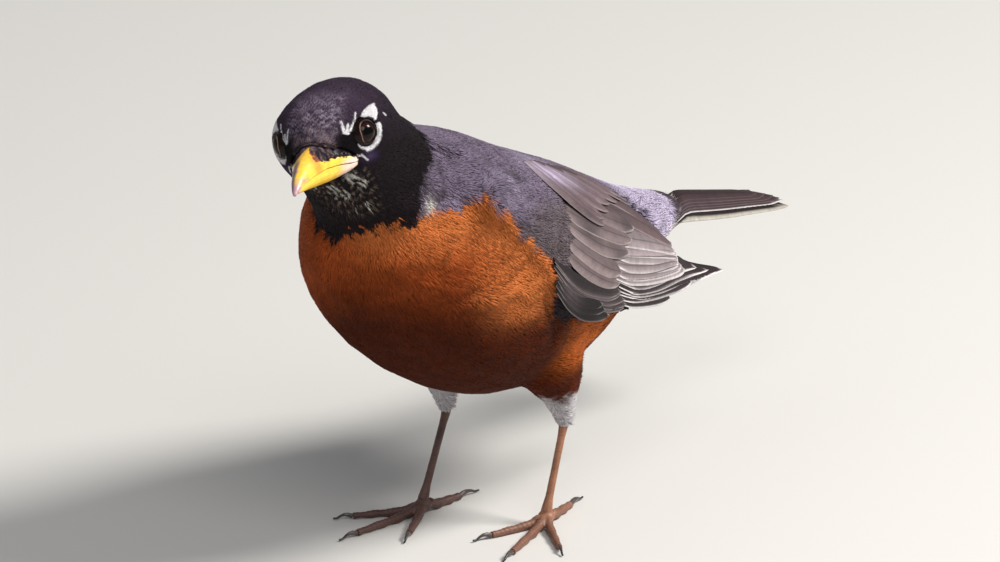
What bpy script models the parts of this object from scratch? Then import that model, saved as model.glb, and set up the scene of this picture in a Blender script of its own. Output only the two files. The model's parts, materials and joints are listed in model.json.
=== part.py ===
"""American robin, standing: a still, life-size model in named solids.

The bird faces -Y, its left side is +X and the floor is z = 0. Sizes below are in
millimetres in the bird's own directions: ahead of the feet, to its left, and up.
"""
import math

import bpy
import bmesh
from mathutils import Matrix, Vector

MM = 0.001
GAP = 0.3                     # between touching pieces
FEET_AHEAD = 12.1             # from the frame's origin to the place between the feet

# Trunk sections across the body: ahead, half width, back, belly, height of the widest place
TRUNK = (
    (-84.0, 6.5, 74.5, 65.5, 70.5),
    (-74.0, 10.5, 77.5, 60.5, 70.0),
    (-60.0, 16.0, 83.0, 55.0, 69.5),
    (-45.0, 21.8, 90.5, 49.5, 69.5),
    (-30.0, 27.5, 98.5, 44.5, 70.5),
    (-15.0, 32.5, 105.5, 40.8, 72.0),
    (0.0, 35.2, 112.5, 39.8, 75.0),
    (15.0, 36.2, 120.2, 41.5, 78.5),
    (29.0, 35.2, 125.0, 47.0, 82.0),
    (42.0, 31.8, 124.6, 56.0, 86.5),
    (52.5, 25.8, 115.5, 66.5, 90.0),
    (60.0, 18.0, 106.8, 76.5, 92.0),
    (64.5, 9.4, 100.2, 84.5, 93.0),
)
# Neck sections: centre ahead, centre left, centre up, half width, half depth, rise in degrees
NECK = (
    (26.0, 0.0, 92.0, 26.5, 24.5, 40.0),
    (38.0, 0.2, 104.5, 25.0, 23.0, 45.0),
    (50.0, 0.8, 115.0, 21.5, 19.6, 50.0),
    (60.0, 1.6, 124.0, 18.5, 17.6, 42.0),
    (67.0, 2.0, 130.0, 15.5, 14.5, 25.0),
)
# The head's own frame sits between the eyes
HEAD_AHEAD, HEAD_LEFT, HEAD_UP = 73.0, 2.0, 133.2
HEAD_TURN, HEAD_DIP, HEAD_TILT = 21.0, -1.0, 15.0     # to the left, down, left eye up
# Head sections: ahead of the eyes, half width, top, bottom, height of the widest place
HEAD = (
    (-26.5, 6.0, 3.0, -8.0, -3.5),
    (-23.5, 11.2, 9.2, -13.0, -2.5),
    (-17.5, 15.6, 12.9, -17.5, -2.0),
    (-10.5, 17.8, 13.8, -18.5, -1.5),
    (-4.0, 17.8, 13.3, -17.5, -0.5),
    (1.5, 16.0, 11.9, -15.8, 0.4),
    (6.0, 11.4, 9.7, -13.0, 0.4),
    (10.0, 7.6, 7.5, -10.6, 0.0),
    (13.0, 5.6, 5.4, -9.2, -0.6),
    (16.0, 4.4, 3.0, -7.8, -2.0),
)
EYE_AHEAD, EYE_LEFT, EYE_UP, EYE_RADIUS = 1.2, 10.2, 0.8, 4.8

# Bill sections: ahead of the eyes, half width, ridge (or cutting edge), cutting edge (or keel)
BILL_UPPER = (
    (3.2, 9.6, -2.4, -6.3),
    (7.4, 9.3, 0.4, -5.8),
    (9.6, 8.0, 1.6, -5.2),
    (12.0, 6.2, 2.2, -4.6),
    (16.5, 4.4, 2.0, -4.0),
    (21.5, 3.4, 1.1, -3.8),
    (26.0, 2.5, -0.2, -3.9),
    (30.0, 1.6, -2.0, -4.4),
    (32.6, 0.9, -3.8, -5.0),
    (33.9, 0.4, -5.1, -5.8),
)
BILL_LOWER = (
    (3.2, 9.3, -6.6, -8.5),
    (7.4, 8.9, -6.1, -8.8),
    (9.6, 7.4, -5.5, -9.1),
    (12.0, 5.7, -4.9, -9.0),
    (16.5, 4.0, -4.3, -8.3),
    (21.5, 3.1, -4.1, -7.4),
    (26.0, 2.1, -4.2, -6.6),
    (30.0, 1.1, -4.7, -6.0),
    (31.8, 0.5, -5.2, -5.7),
)

# Folded wing, sections across the body: ahead, upper edge (left, up), lower edge (left, up),
# outward bulge, thickness
WING = (
    (38.0, 30.0, 114.0, 33.0, 109.0, 0.8, 2.0),
    (33.0, 27.0, 116.0, 36.0, 102.0, 2.0, 3.8),
    (26.0, 23.0, 116.5, 38.0, 94.0, 3.4, 5.0),
    (18.0, 19.0, 115.5, 39.2, 82.0, 5.4, 5.6),
    (9.0, 15.5, 113.5, 39.4, 73.5, 7.2, 5.6),
    (-3.0, 12.8, 109.5, 38.6, 68.0, 8.4, 5.2),
    (-16.0, 10.8, 104.0, 36.8, 64.6, 8.8, 4.6),
    (-30.0, 9.6, 97.0, 34.0, 62.2, 8.2, 3.9),
    (-44.0, 9.8, 87.0, 30.6, 59.6, 6.2, 3.1),
    (-54.0, 11.5, 78.4, 28.0, 57.4, 4.2, 2.4),
    (-62.0, 14.8, 69.6, 25.9, 55.8, 2.2, 1.8),
    (-70.0, 18.8, 61.8, 24.0, 54.6, 0.9, 1.3),
    (-77.0, 20.9, 57.4, 22.8, 54.0, 0.4, 1.1),
    (-82.5, 22.0, 54.9, 22.4, 53.7, 0.2, 0.9),
)
# Cuts across the wing: ahead at its upper edge, ahead at its lower edge
WING_CUTS = ((-28.0, -22.0), (-58.0, -66.0))

# Tail: an inverted V at its base that flattens to its end
TAIL_BASE_AHEAD, TAIL_BASE_UP = -70.0, 76.3
TAIL_LENGTH, TAIL_DROOP = 60.5, 15.0
TAIL_BASE_HALF, TAIL_TIP_HALF = 8.5, 11.0
TAIL_BASE_ARCH, TAIL_TIP_ARCH = 9.0, 2.4
TAIL_THICK, TAIL_FEATHERS, TAIL_NOTCH = 1.1, 6, 4.5

# Legs, for the left (+1) and the right (-1): foot joint and ankle as (ahead, left, up)
LEGS = {
    "left": {"side": 1, "foot": (-6.5, 16.5, 4.2), "ankle": (-14.0, 17.5, 33.5),
             "hip": (2.5, 18.0, 60.0), "turn": 14.0},
    "right": {"side": -1, "foot": (7.5, -16.2, 4.2), "ankle": (-4.6, -16.2, 33.0),
              "hip": (8.0, -18.5, 60.0), "turn": -6.0},
}
# Toes: outward angle from straight ahead, length, claw length, root radius, tip radius
TOES = {
    "inner": (-32.0, 16.0, 6.0, 1.35, 0.95),
    "middle": (2.0, 23.0, 6.6, 1.4, 0.95),
    "outer": (34.0, 17.5, 5.4, 1.3, 0.9),
    "hind": (178.0, 12.5, 8.0, 1.55, 1.05),
}

BODY_VOXEL, BODY_SMOOTHINGS, BODY_TRIANGLES = 1.8, 8, 1780
RING_POINTS = 24

COLOURS = {                   # base colour, roughness
    "head": ((0.018, 0.016, 0.02), 0.6),
    "neck": ((0.022, 0.02, 0.022), 0.65),
    "breast": ((0.40, 0.115, 0.03), 0.75),
    "wing": ((0.13, 0.12, 0.125), 0.6),
    "tail": ((0.055, 0.05, 0.052), 0.55),
    "bill": ((0.85, 0.52, 0.06), 0.35),
    "eye": ((0.03, 0.012, 0.008), 0.08),
    "leg": ((0.22, 0.11, 0.10), 0.5),
    "claw": ((0.04, 0.03, 0.03), 0.35),
}


def spot(ahead, left, up):
    """A place in the frame, from millimetres ahead, left and up of the feet."""
    return Vector((left, -FEET_AHEAD - ahead, up)) * MM


def clear_scene():
    for obj in list(bpy.data.objects):
        bpy.data.objects.remove(obj, do_unlink=True)


def new_collection(name):
    collection = bpy.data.collections.new(name)
    bpy.context.scene.collection.children.link(collection)
    return collection


def material(kind):
    found = bpy.data.materials.get(kind)
    if found:
        return found
    colour, roughness = COLOURS[kind]
    made = bpy.data.materials.new(kind)
    made.use_nodes = True
    shader = made.node_tree.nodes["Principled BSDF"]
    shader.inputs["Base Color"].default_value = (*colour, 1.0)
    shader.inputs["Roughness"].default_value = roughness
    made.diffuse_color = (*colour, 1.0)
    return made


def object_of(name, bm, kind, collection):
    """A smooth-shaded object from a bmesh, with its normals out."""
    bmesh.ops.recalc_face_normals(bm, faces=bm.faces)
    mesh = bpy.data.meshes.new(name)
    bm.to_mesh(mesh)
    bm.free()
    mesh.materials.append(material(kind))
    mesh.shade_smooth()
    mesh.set_sharp_from_angle(angle=math.radians(50))
    obj = bpy.data.objects.new(name, mesh)
    collection.objects.link(obj)
    return obj


def loft(bm, rings):
    """Skins closed rings of points, with a fan at each end."""
    rows = [[bm.verts.new(p) for p in ring] for ring in rings]
    for low, high in zip(rows, rows[1:]):
        for i in range(len(low)):
            j = (i + 1) % len(low)
            bm.faces.new((low[i], low[j], high[j], high[i]))
    for row in (rows[0], rows[-1]):
        centre = bm.verts.new(sum((v.co for v in row), Vector()) / len(row))
        for i in range(len(row)):
            bm.faces.new((row[i], row[(i + 1) % len(row)], centre))
    bmesh.ops.recalc_face_normals(bm, faces=bm.faces)


def eased(rows, steps):
    """Rows of numbers, resampled on a smooth curve (Catmull-Rom) through them."""
    found = []
    for i in range(len(rows) - 1):
        p0, p1 = rows[max(i - 1, 0)], rows[i]
        p2, p3 = rows[i + 1], rows[min(i + 2, len(rows) - 1)]
        for k in range(steps):
            t = k / steps
            found.append(tuple(
                0.5 * (2 * b + (c - a) * t + (2 * a - 5 * b + 4 * c - d) * t * t
                       + (3 * b - a - 3 * c + d) * t ** 3)
                for a, b, c, d in zip(p0, p1, p2, p3)))
    found.append(tuple(rows[-1]))
    return found


def oval(half_width, top, bottom, middle, points, square=1.0):
    """(across, up) round an egg-shaped section whose widest place is at middle."""
    found = []
    for i in range(points):
        turn = 2 * math.pi * i / points
        across, rise = math.cos(turn), math.sin(turn)
        across = math.copysign(abs(across) ** square, across)
        rise = math.copysign(abs(rise) ** square, rise)
        reach = top - middle if rise > 0 else middle - bottom
        found.append((half_width * across, middle + rise * reach))
    return found


def head_place():
    """The head's frame: its columns are ahead, left and up."""
    turn = Matrix.Rotation(math.radians(HEAD_TURN), 3, "Z")
    dip = Matrix.Rotation(math.radians(HEAD_DIP), 3, "Y")
    tilt = Matrix.Rotation(math.radians(HEAD_TILT), 3, "X")
    return turn @ dip @ tilt


def on_head(ahead, left, up):
    """A place given in the head's own frame."""
    out = head_place() @ Vector((ahead, left, up))
    return spot(HEAD_AHEAD + out.x, HEAD_LEFT + out.y, HEAD_UP + out.z)


def trunk_rings():
    rings = []
    for ahead, half, back, belly, middle in eased(TRUNK, 2):
        rings.append([spot(ahead, a, u) for a, u in
                      oval(half, back, belly, middle, RING_POINTS, 0.93)])
    return rings


def neck_rings():
    rings = []
    for ahead, left, up, half, depth, rise in eased(NECK, 2):
        slope = math.radians(rise)
        ring = []
        for a, u in oval(half, depth, -depth, 0.0, RING_POINTS):
            ring.append(spot(ahead - u * math.sin(slope), left + a, up + u * math.cos(slope)))
        rings.append(ring)
    return rings


def head_rings():
    rings = []
    for ahead, half, top, bottom, middle in eased(HEAD, 2):
        rings.append([on_head(ahead, a, u) for a, u in
                      oval(half, top, bottom, middle, RING_POINTS)])
    return rings


def applied(obj):
    """The object with its modifiers made real."""
    graph = bpy.context.evaluated_depsgraph_get()
    mesh = bpy.data.meshes.new_from_object(obj.evaluated_get(graph))
    obj.modifiers.clear()
    obj.data = mesh
    return obj


def plump_body(helpers):
    """Trunk, neck and head blended into one closed skin."""
    bm = bmesh.new()
    for rings in (trunk_rings(), neck_rings(), head_rings()):
        loft(bm, rings)
    body = object_of("whole_body", bm, "breast", helpers)
    body.hide_render = True
    body.display_type = "WIRE"
    remesh = body.modifiers.new("remesh", "REMESH")
    remesh.mode = "VOXEL"
    remesh.voxel_size = BODY_VOXEL * MM
    smooth = body.modifiers.new("smooth", "SMOOTH")
    smooth.factor = 0.5
    smooth.iterations = BODY_SMOOTHINGS
    applied(body)
    thin = body.modifiers.new("thin", "DECIMATE")
    body.data.calc_loop_triangles()
    thin.ratio = BODY_TRIANGLES / len(body.data.loop_triangles)
    return applied(body)


def swollen(obj, by, helpers):
    """A cutter: the object's shape grown by a small distance."""
    cutter = obj.copy()
    cutter.data = obj.data.copy()
    cutter.name = "cut_" + obj.name
    helpers.objects.link(cutter)
    cutter.hide_render = True
    cutter.display_type = "WIRE"
    grow = cutter.modifiers.new("grow", "DISPLACE")
    grow.strength = by * MM
    grow.mid_level = 0.0
    return applied(cutter)


def cut_away(obj, cutter):
    """Removes the cutter's shape and any crumbs that it leaves."""
    cut = obj.modifiers.new("cut", "BOOLEAN")
    cut.operation = "DIFFERENCE"
    cut.object = cutter
    cut.solver = "EXACT"
    applied(obj)
    keep_largest(obj)


def keep_largest(obj):
    """Drops every loose piece of the mesh but the largest."""
    bm = bmesh.new()
    bm.from_mesh(obj.data)
    left, groups = set(bm.verts), []
    while left:
        todo, group = [left.pop()], []
        while todo:
            v = todo.pop()
            group.append(v)
            for e in v.link_edges:
                w = e.other_vert(v)
                if w in left:
                    left.discard(w)
                    todo.append(w)
        groups.append(group)
    groups.sort(key=len, reverse=True)
    for group in groups[1:]:
        bmesh.ops.delete(bm, geom=group, context="VERTS")
    bmesh.ops.dissolve_degenerate(bm, dist=1e-6, edges=bm.edges)
    bmesh.ops.triangulate(bm, faces=[f for f in bm.faces if len(f.verts) > 4])
    bm.to_mesh(obj.data)
    bm.free()


def sliced(source, name, kind, planes, collection):
    """A copy of the source kept behind each plane (a point and the way out)."""
    bm = bmesh.new()
    bm.from_mesh(source.data)
    for point, out in planes:
        geom = bm.verts[:] + bm.edges[:] + bm.faces[:]
        bmesh.ops.bisect_plane(bm, geom=geom, plane_co=point, plane_no=out,
                               clear_outer=True, dist=1e-7)
        open_edges = [e for e in bm.edges if e.is_boundary]
        bmesh.ops.holes_fill(bm, edges=open_edges, sides=0)
    bmesh.ops.triangulate(bm, faces=[f for f in bm.faces if len(f.verts) > 4])
    return object_of(name, bm, kind, collection)


def build_bill(robin):
    """Upper and lower halves of the bill, each a tapering loft."""
    def half(rows, name, upper):
        bm = bmesh.new()
        rings = []
        for ahead, wide, high, low in rows:
            ring = []
            steps = 10
            for i in range(steps + 1):
                turn = math.pi * i / steps
                across = math.cos(turn)
                rise = math.sin(turn) ** 0.8
                level = low + (high - low) * rise if upper else high - (high - low) * rise
                ring.append(on_head(ahead, wide * across, level))
            rings.append(ring)
        loft(bm, rings)
        return object_of(name, bm, "bill", robin)
    return half(BILL_UPPER, "bill_upper", True), half(BILL_LOWER, "bill_lower", False)


def build_eye(name, side, radius, collection):
    bm = bmesh.new()
    bmesh.ops.create_uvsphere(bm, u_segments=14, v_segments=8, radius=radius * MM)
    turn = Matrix.Rotation(math.radians(90.0), 4, "Y")
    bmesh.ops.transform(bm, matrix=turn, verts=bm.verts)
    bmesh.ops.translate(bm, vec=on_head(EYE_AHEAD, side * EYE_LEFT, EYE_UP), verts=bm.verts)
    return object_of(name, bm, "eye", collection)


def wing_rings(side):
    """Closed sections of a folded wing: out along the outside, back along the inside."""
    rings = []
    steps = 7
    for ahead, upper_left, upper_up, lower_left, lower_up, bulge, thick in eased(WING, 2):
        chord = Vector((lower_left - upper_left, lower_up - upper_up))
        out = Vector((-chord.y, chord.x)).normalized()
        ring = []
        for inner in (0.0, 1.0):
            for i in range(steps + 1):
                t = i / steps if not inner else 1 - i / steps
                swell = math.sin(math.pi * t) ** 0.8 if 0 < t < 1 else 0.0
                edge = min(1.0, 4.0 * t, 4.0 * (1 - t))
                reach = bulge * swell - inner * thick * (0.35 + 0.65 * edge)
                place = Vector((upper_left, upper_up)) + chord * t + out * reach
                ring.append(spot(ahead, side * place.x, place.y))
        rings.append(ring)
    return rings


def build_wing(word, side, robin, helpers):
    """The folded wing, parted into coverts, inner and outer flight feathers."""
    bm = bmesh.new()
    loft(bm, wing_rings(side))
    whole = object_of("wing_" + word, bm, "wing", helpers)
    whole.hide_render = True
    whole.display_type = "WIRE"
    cuts = []
    for upper, lower in WING_CUTS:
        high, low = spot(upper, 0, 90.0), spot(lower, 0, 60.0)
        out = (high - low).cross(Vector((1, 0, 0))).normalized()
        cuts.append((high, out * math.copysign(1, out.y)))
    half = GAP / 2 * MM
    (first, back), (second, rear) = cuts
    parts = {"coverts": [(first - back * half, back)],
             "secondaries": [(first + back * half, -back), (second - rear * half, rear)],
             "primaries": [(second + rear * half, -rear)]}
    for part, planes in parts.items():
        sliced(whole, f"wing_{word}_{part}", "wing", planes, robin)
    return whole


def tail_place(along, across, up):
    """A place in the tail's frame: along it from its base, across to the left, and up."""
    droop = math.radians(TAIL_DROOP)
    return spot(TAIL_BASE_AHEAD - along * math.cos(droop) - up * math.sin(droop), across,
                TAIL_BASE_UP - along * math.sin(droop) + up * math.cos(droop))


def tail_reach(share):
    """How far the tail's edge lies from its base, for -1 (right) to 1 (left)."""
    feather = (share + 1) / 2 * TAIL_FEATHERS
    beside = abs(2 * (feather % 1.0) - 1) if 0 < share + 1 < 2 else 1.0
    return TAIL_LENGTH - TAIL_NOTCH * beside ** 1.6 + 1.5 * (abs(share) - 0.5)


def build_tail(robin):
    """The folded tail: an arched fan whose end is notched between the feathers."""
    bm = bmesh.new()
    columns, rows = TAIL_FEATHERS * 6, 2
    grids = []
    for layer in (1, -1):
        grid = []
        for i in range(columns + 1):
            share = i / columns * 2 - 1
            column = []
            for j in range(rows + 1):
                t = j / rows
                half = TAIL_BASE_HALF + (TAIL_TIP_HALF - TAIL_BASE_HALF) * t
                arch = TAIL_BASE_ARCH + (TAIL_TIP_ARCH - TAIL_BASE_ARCH) * t
                up = layer * TAIL_THICK * (1.5 - t) / 2 - arch * abs(share) ** 1.5
                place = tail_place(tail_reach(share) * t, share * half, up)
                column.append(bm.verts.new(place))
            grid.append(column)
        grids.append(grid)
    top, under = grids
    for grid in grids:
        for i in range(columns):
            for j in range(rows):
                bm.faces.new((grid[i][j], grid[i + 1][j], grid[i + 1][j + 1], grid[i][j + 1]))
    for i in range(columns):
        for j in (0, rows):
            bm.faces.new((top[i][j], top[i + 1][j], under[i + 1][j], under[i][j]))
    for i in (0, columns):
        for j in range(rows):
            bm.faces.new((top[i][j], top[i][j + 1], under[i][j + 1], under[i][j]))
    return object_of("tail", bm, "tail", robin)


def tube(bm, path, radii, points=8):
    """A closed tube along a path of places, each with its radius in millimetres."""
    rings = []
    for i, here in enumerate(path):
        along = (path[min(i + 1, len(path) - 1)] - path[max(i - 1, 0)]).normalized()
        side = along.cross(Vector((0, 0, 1)))
        if side.length < 0.3:
            side = along.cross(Vector((0, 1, 0)))
        side.normalize()
        rise = side.cross(along)
        rings.append([here + (side * math.cos(2 * math.pi * k / points)
                              + rise * math.sin(2 * math.pi * k / points))
                      * radii[i] * MM for k in range(points)])
    loft(bm, rings)


def build_thigh(word, leg, robin):
    """The feathered shank: a drumstick from inside the belly to the ankle."""
    hip, ankle = (Vector(leg[k]) for k in ("hip", "ankle"))
    end = ankle + (ankle - hip).normalized() * 1.0
    end = end.lerp(Vector(leg["foot"]), 0.17)
    stations = ((0.0, 13.0), (0.3, 11.5), (0.52, 8.6), (0.7, 5.6), (0.85, 3.7), (1.0, 2.1))
    bm = bmesh.new()
    path = []
    for share, _ in stations:
        sag = Vector((-3.0, 0, 0)) * math.sin(math.pi * share)
        path.append(spot(*(hip.lerp(end, share) + sag)))
    tube(bm, path, [r for _, r in stations], points=14)
    return object_of(f"thigh_{word}", bm, "breast", robin), end


def build_foot(word, leg, top, robin, helpers):
    """The bare shank, four toes and their claws, standing on small flats."""
    foot = Vector(leg["foot"])
    side = leg["side"]
    pieces = []
    bm = bmesh.new()
    start = top + (top - foot).normalized() * 2.0
    shank = ((0.0, 1.25), (0.08, 1.35), (0.2, 1.1), (0.55, 1.05), (0.85, 1.15), (1.0, 1.7))
    tube(bm, [spot(*start.lerp(foot, t)) for t, _ in shank], [r for _, r in shank])
    pieces.append(object_of(f"tarsus_{word}", bm, "leg", robin))
    grown = [swollen(pieces[0], GAP, helpers)]
    for toe, (angle, length, claw, root, tip) in TOES.items():
        turn = math.radians(leg["turn"] + side * angle)
        ahead = Vector((math.cos(turn), math.sin(turn), 0))
        ground = Vector((foot.x, foot.y, 0)) + ahead * 2.4
        bm = bmesh.new()
        path, radii = [], []
        steps = 6
        for i in range(steps + 1):
            t = i / steps
            radius = root + (tip - root) * t
            joint = 0.12 * math.cos(2 * math.pi * 3 * t)
            arch = 1.1 * math.exp(-(t / 0.14) ** 2)
            radii.append(radius + joint)
            path.append(spot(*(ground + ahead * length * t
                               + Vector((0, 0, radius * 0.86 + arch)))))
        tube(bm, path, radii)
        pieces.append(on_floor(object_of(f"toe_{word}_{toe}", bm, "leg", robin)))
        for cutter in grown:
            cut_away(pieces[-1], cutter)
        grown.append(swollen(pieces[-1], GAP, helpers))
        root_place = ground + ahead * (length + GAP)
        bm = bmesh.new()
        path, radii = [], []
        for i in range(6):
            t = i / 5
            rise = tip * 0.8 + 0.9 * math.sin(math.pi * min(1.0, t * 1.1)) * (1 - t * 0.3)
            path.append(spot(*(root_place + ahead * claw * t
                               + Vector((0, 0, max(0.42, rise - 0.9 * t * t))))))
            radii.append(max(0.3, tip * 0.82 * (1 - t) ** 0.8))
        tube(bm, path, radii, points=6)
        pieces.append(on_floor(object_of(f"claw_{word}_{toe}", bm, "claw", robin)))
    return pieces


def on_floor(obj):
    """Cuts off what would reach below the floor, which leaves a flat to stand on."""
    bm = bmesh.new()
    bm.from_mesh(obj.data)
    geom = bm.verts[:] + bm.edges[:] + bm.faces[:]
    bmesh.ops.bisect_plane(bm, geom=geom, plane_co=(0, 0, 0), plane_no=(0, 0, -1),
                           clear_outer=True, dist=1e-7)
    open_edges = [e for e in bm.edges if e.is_boundary]
    if open_edges:
        bmesh.ops.holes_fill(bm, edges=open_edges, sides=0)
    bm.to_mesh(obj.data)
    bm.free()
    return obj


def main():
    clear_scene()
    robin = new_collection("american_robin")
    helpers = new_collection("cutters")
    body = plump_body(helpers)

    lower = (spot(47.0, 0, 113.0), Vector((0, -math.cos(math.radians(52)),
                                           math.sin(math.radians(52)))))
    upper = (spot(59.0, 1, 126.0), Vector((0, -math.cos(math.radians(40)),
                                           math.sin(math.radians(40)))))
    hind = (spot(-50.0, 0, 70.0), Vector((0, math.cos(math.radians(15)),
                                          -math.sin(math.radians(15)))))
    half_gap = GAP / 2 * MM
    trunk = sliced(body, "trunk", "breast", [(lower[0] - lower[1] * half_gap, lower[1]),
                                             (hind[0] - hind[1] * half_gap, hind[1])], robin)
    rump = sliced(body, "rump", "wing", [(hind[0] + hind[1] * half_gap, -hind[1])], robin)
    neck = sliced(body, "neck", "neck", [(lower[0] + lower[1] * half_gap, -lower[1]),
                                         (upper[0] - upper[1] * half_gap, upper[1])], robin)
    head = sliced(body, "head", "head", [(upper[0] + upper[1] * half_gap, -upper[1])], robin)

    for half in build_bill(robin):
        cut_away(head, swollen(half, GAP, helpers))
    for word, side in (("left", 1), ("right", -1)):
        build_eye(f"eye_{word}", side, EYE_RADIUS, robin)
        socket = build_eye(f"cut_socket_{word}", side, EYE_RADIUS + GAP, helpers)
        socket.hide_render = True
        cut_away(head, socket)
        whole = build_wing(word, side, robin, helpers)
        grown = swollen(whole, GAP, helpers)
        for piece in (trunk, rump, neck):
            cut_away(piece, grown)
    tail = build_tail(robin)
    cut_away(tail, swollen(rump, GAP, helpers))
    for word, leg in LEGS.items():
        thigh, end = build_thigh(word, leg, robin)
        cut_away(thigh, swollen(trunk, GAP, helpers))
        tarsus = build_foot(word, leg, end, robin, helpers)[0]
        cut_away(thigh, swollen(tarsus, GAP, helpers))


main()
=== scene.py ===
import json
import math
from types import SimpleNamespace

import bmesh
import bpy
import numpy as np
from mathutils import Matrix, Vector
from mathutils.bvhtree import BVHTree

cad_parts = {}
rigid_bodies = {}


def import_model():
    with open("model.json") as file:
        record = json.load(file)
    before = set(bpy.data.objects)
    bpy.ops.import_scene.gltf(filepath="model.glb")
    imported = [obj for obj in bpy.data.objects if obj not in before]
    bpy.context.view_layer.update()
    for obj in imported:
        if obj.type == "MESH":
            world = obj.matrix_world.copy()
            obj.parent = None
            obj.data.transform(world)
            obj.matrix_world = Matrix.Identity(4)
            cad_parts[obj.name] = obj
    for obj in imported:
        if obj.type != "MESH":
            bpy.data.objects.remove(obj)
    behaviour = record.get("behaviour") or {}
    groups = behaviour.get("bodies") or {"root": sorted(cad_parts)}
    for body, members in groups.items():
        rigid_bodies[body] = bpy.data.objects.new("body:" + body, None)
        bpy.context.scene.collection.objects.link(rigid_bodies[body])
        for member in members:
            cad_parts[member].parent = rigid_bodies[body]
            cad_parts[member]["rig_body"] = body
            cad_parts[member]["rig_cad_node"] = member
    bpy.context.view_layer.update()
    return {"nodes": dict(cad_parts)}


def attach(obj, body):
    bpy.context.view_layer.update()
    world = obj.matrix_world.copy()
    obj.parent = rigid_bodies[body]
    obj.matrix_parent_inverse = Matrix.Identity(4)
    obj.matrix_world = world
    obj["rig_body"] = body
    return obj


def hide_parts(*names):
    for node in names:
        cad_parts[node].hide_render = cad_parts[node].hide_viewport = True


MM = 0.001
FEET_AHEAD = 12.1                # mm from the frame's origin to the place between the feet
SIDES = {1: "left", -1: "right"}     # by the sign of how far left they lie

# The head's own frame: its place, and its turn left, dip and tilt in degrees
HEAD_AT = np.array((73.0, 2.0, 133.2))
HEAD_TURN, HEAD_DIP, HEAD_TILT = 21.0, -1.0, 15.0

# The line that the plumage lies along, from the bill to the tail: ahead, left, up
LIE = (
    (100.0, 12.0, 129.0), (84.0, 6.0, 131.0), (73.0, 2.0, 130.0), (64.0, 1.5, 125.5), (55.0, 1.0, 118.0),
    (45.0, 0.5, 108.0), (33.0, 0.0, 98.0), (18.0, 0.0, 88.0), (0.0, 0.0, 80.0), (-20.0, 0.0, 75.0),
    (-45.0, 0.0, 71.5), (-70.0, 0.0, 70.0), (-100.0, 0.0, 64.0),
)

SKIN_NODES = ("head", "neck", "trunk", "rump", "thigh_left", "thigh_right", "wing_left_coverts",
              "wing_right_coverts")
SKIN_VOXEL = 0.9                 # mm
SUNK_DEPTH = 2.3                 # mm from the wing's surface down to the skin below its firm feathers
BODY_DEPTH, HEAD_DEPTH = 1.3, 0.7    # mm from the coat's outline down to the skin
SKIN_SWELL, CREASE_FILL = 0.35, 2.2  # mm that the parts grow before they become one skin
COAT_TUFTS, NASAL_TUFTS = 58000, 1600

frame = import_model()
NODES = frame["nodes"]
chance = np.random.default_rng(41)


# ---- places --------------------------------------------------------------------------------

def spot(ahead, left, up):
    """A place in the bird's own millimetres, in the frame's metres."""
    return Vector((left, -(FEET_AHEAD + ahead), up)) * MM


def in_frame(places):
    """spot() for an array of places."""
    places = np.asarray(places, float)
    turned = np.stack((places[..., 1], -(FEET_AHEAD + places[..., 0]), places[..., 2]), -1)
    return turned * MM


def in_bird(points):
    """Metres in the frame to the bird's own millimetres: ahead, left, up."""
    points = np.asarray(points, float) / MM
    return np.stack((-points[..., 1] - FEET_AHEAD, points[..., 0], points[..., 2]), -1)


def turned_to_bird(directions):
    """Directions in the frame to the bird's ahead, left and up."""
    return np.stack((-directions[..., 1], directions[..., 0], directions[..., 2]), -1)


def turned_to_frame(directions):
    """Directions of the bird to the frame's."""
    return np.stack((directions[..., 1], -directions[..., 0], directions[..., 2]), -1)


def head_turning():
    """Columns: the head's ahead, left and up as (ahead, left, up) of the bird."""
    turn = Matrix.Rotation(math.radians(HEAD_TURN), 3, "Z")
    dip = Matrix.Rotation(math.radians(HEAD_DIP), 3, "Y")
    tilt = Matrix.Rotation(math.radians(HEAD_TILT), 3, "X")
    return np.array(turn @ dip @ tilt)


HEAD_AXES = head_turning()


def from_head(places):
    """Places in the head's frame to the bird's."""
    return np.asarray(places, float) @ HEAD_AXES.T + HEAD_AT


def to_head(places):
    """Places in the bird's millimetres to the head's frame."""
    return (np.asarray(places, float) - HEAD_AT) @ HEAD_AXES


def apart(places):
    """Ahead, left and up as three arrays."""
    return np.moveaxis(places, -1, 0)


def mirrored(head):
    """Places in the head's frame as if all were on its left side."""
    ahead, left, up = apart(head)
    return np.stack((ahead, np.abs(left), up), -1)


def unit(vectors):
    """The vectors at length 1."""
    return vectors / np.maximum(np.linalg.norm(vectors, axis=-1, keepdims=True), 1e-9)


def step(low, high, value):
    """0 below low, 1 above high, smooth between; the other way round where low is the higher one."""
    share = np.clip((value - low) / (high - low), 0, 1)
    return share * share * (3 - 2 * share)


def read_off(curve, value):
    """The height of a curve of (value, height) points at each value."""
    return np.interp(value, *np.transpose(curve))


def soft_spot(places, centre, sizes):
    """1 at a centre, falling off softly over the sizes in mm along each axis."""
    return np.exp(-(((places - np.array(centre)) / sizes) ** 2).sum(-1))


def eased(value, goal, share):
    """A value moved towards a goal by a share."""
    return value + (goal - value) * share


def blended(first, second, share):
    """A colour moved towards a second one by a share for each place."""
    return first + (second - first) * share[..., None]


def painted(colour, *coats):
    """Lays colours over another one in turn, each given with its share for each place."""
    for coat, share in coats:
        colour = blended(colour, coat, share)
    return colour


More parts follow.
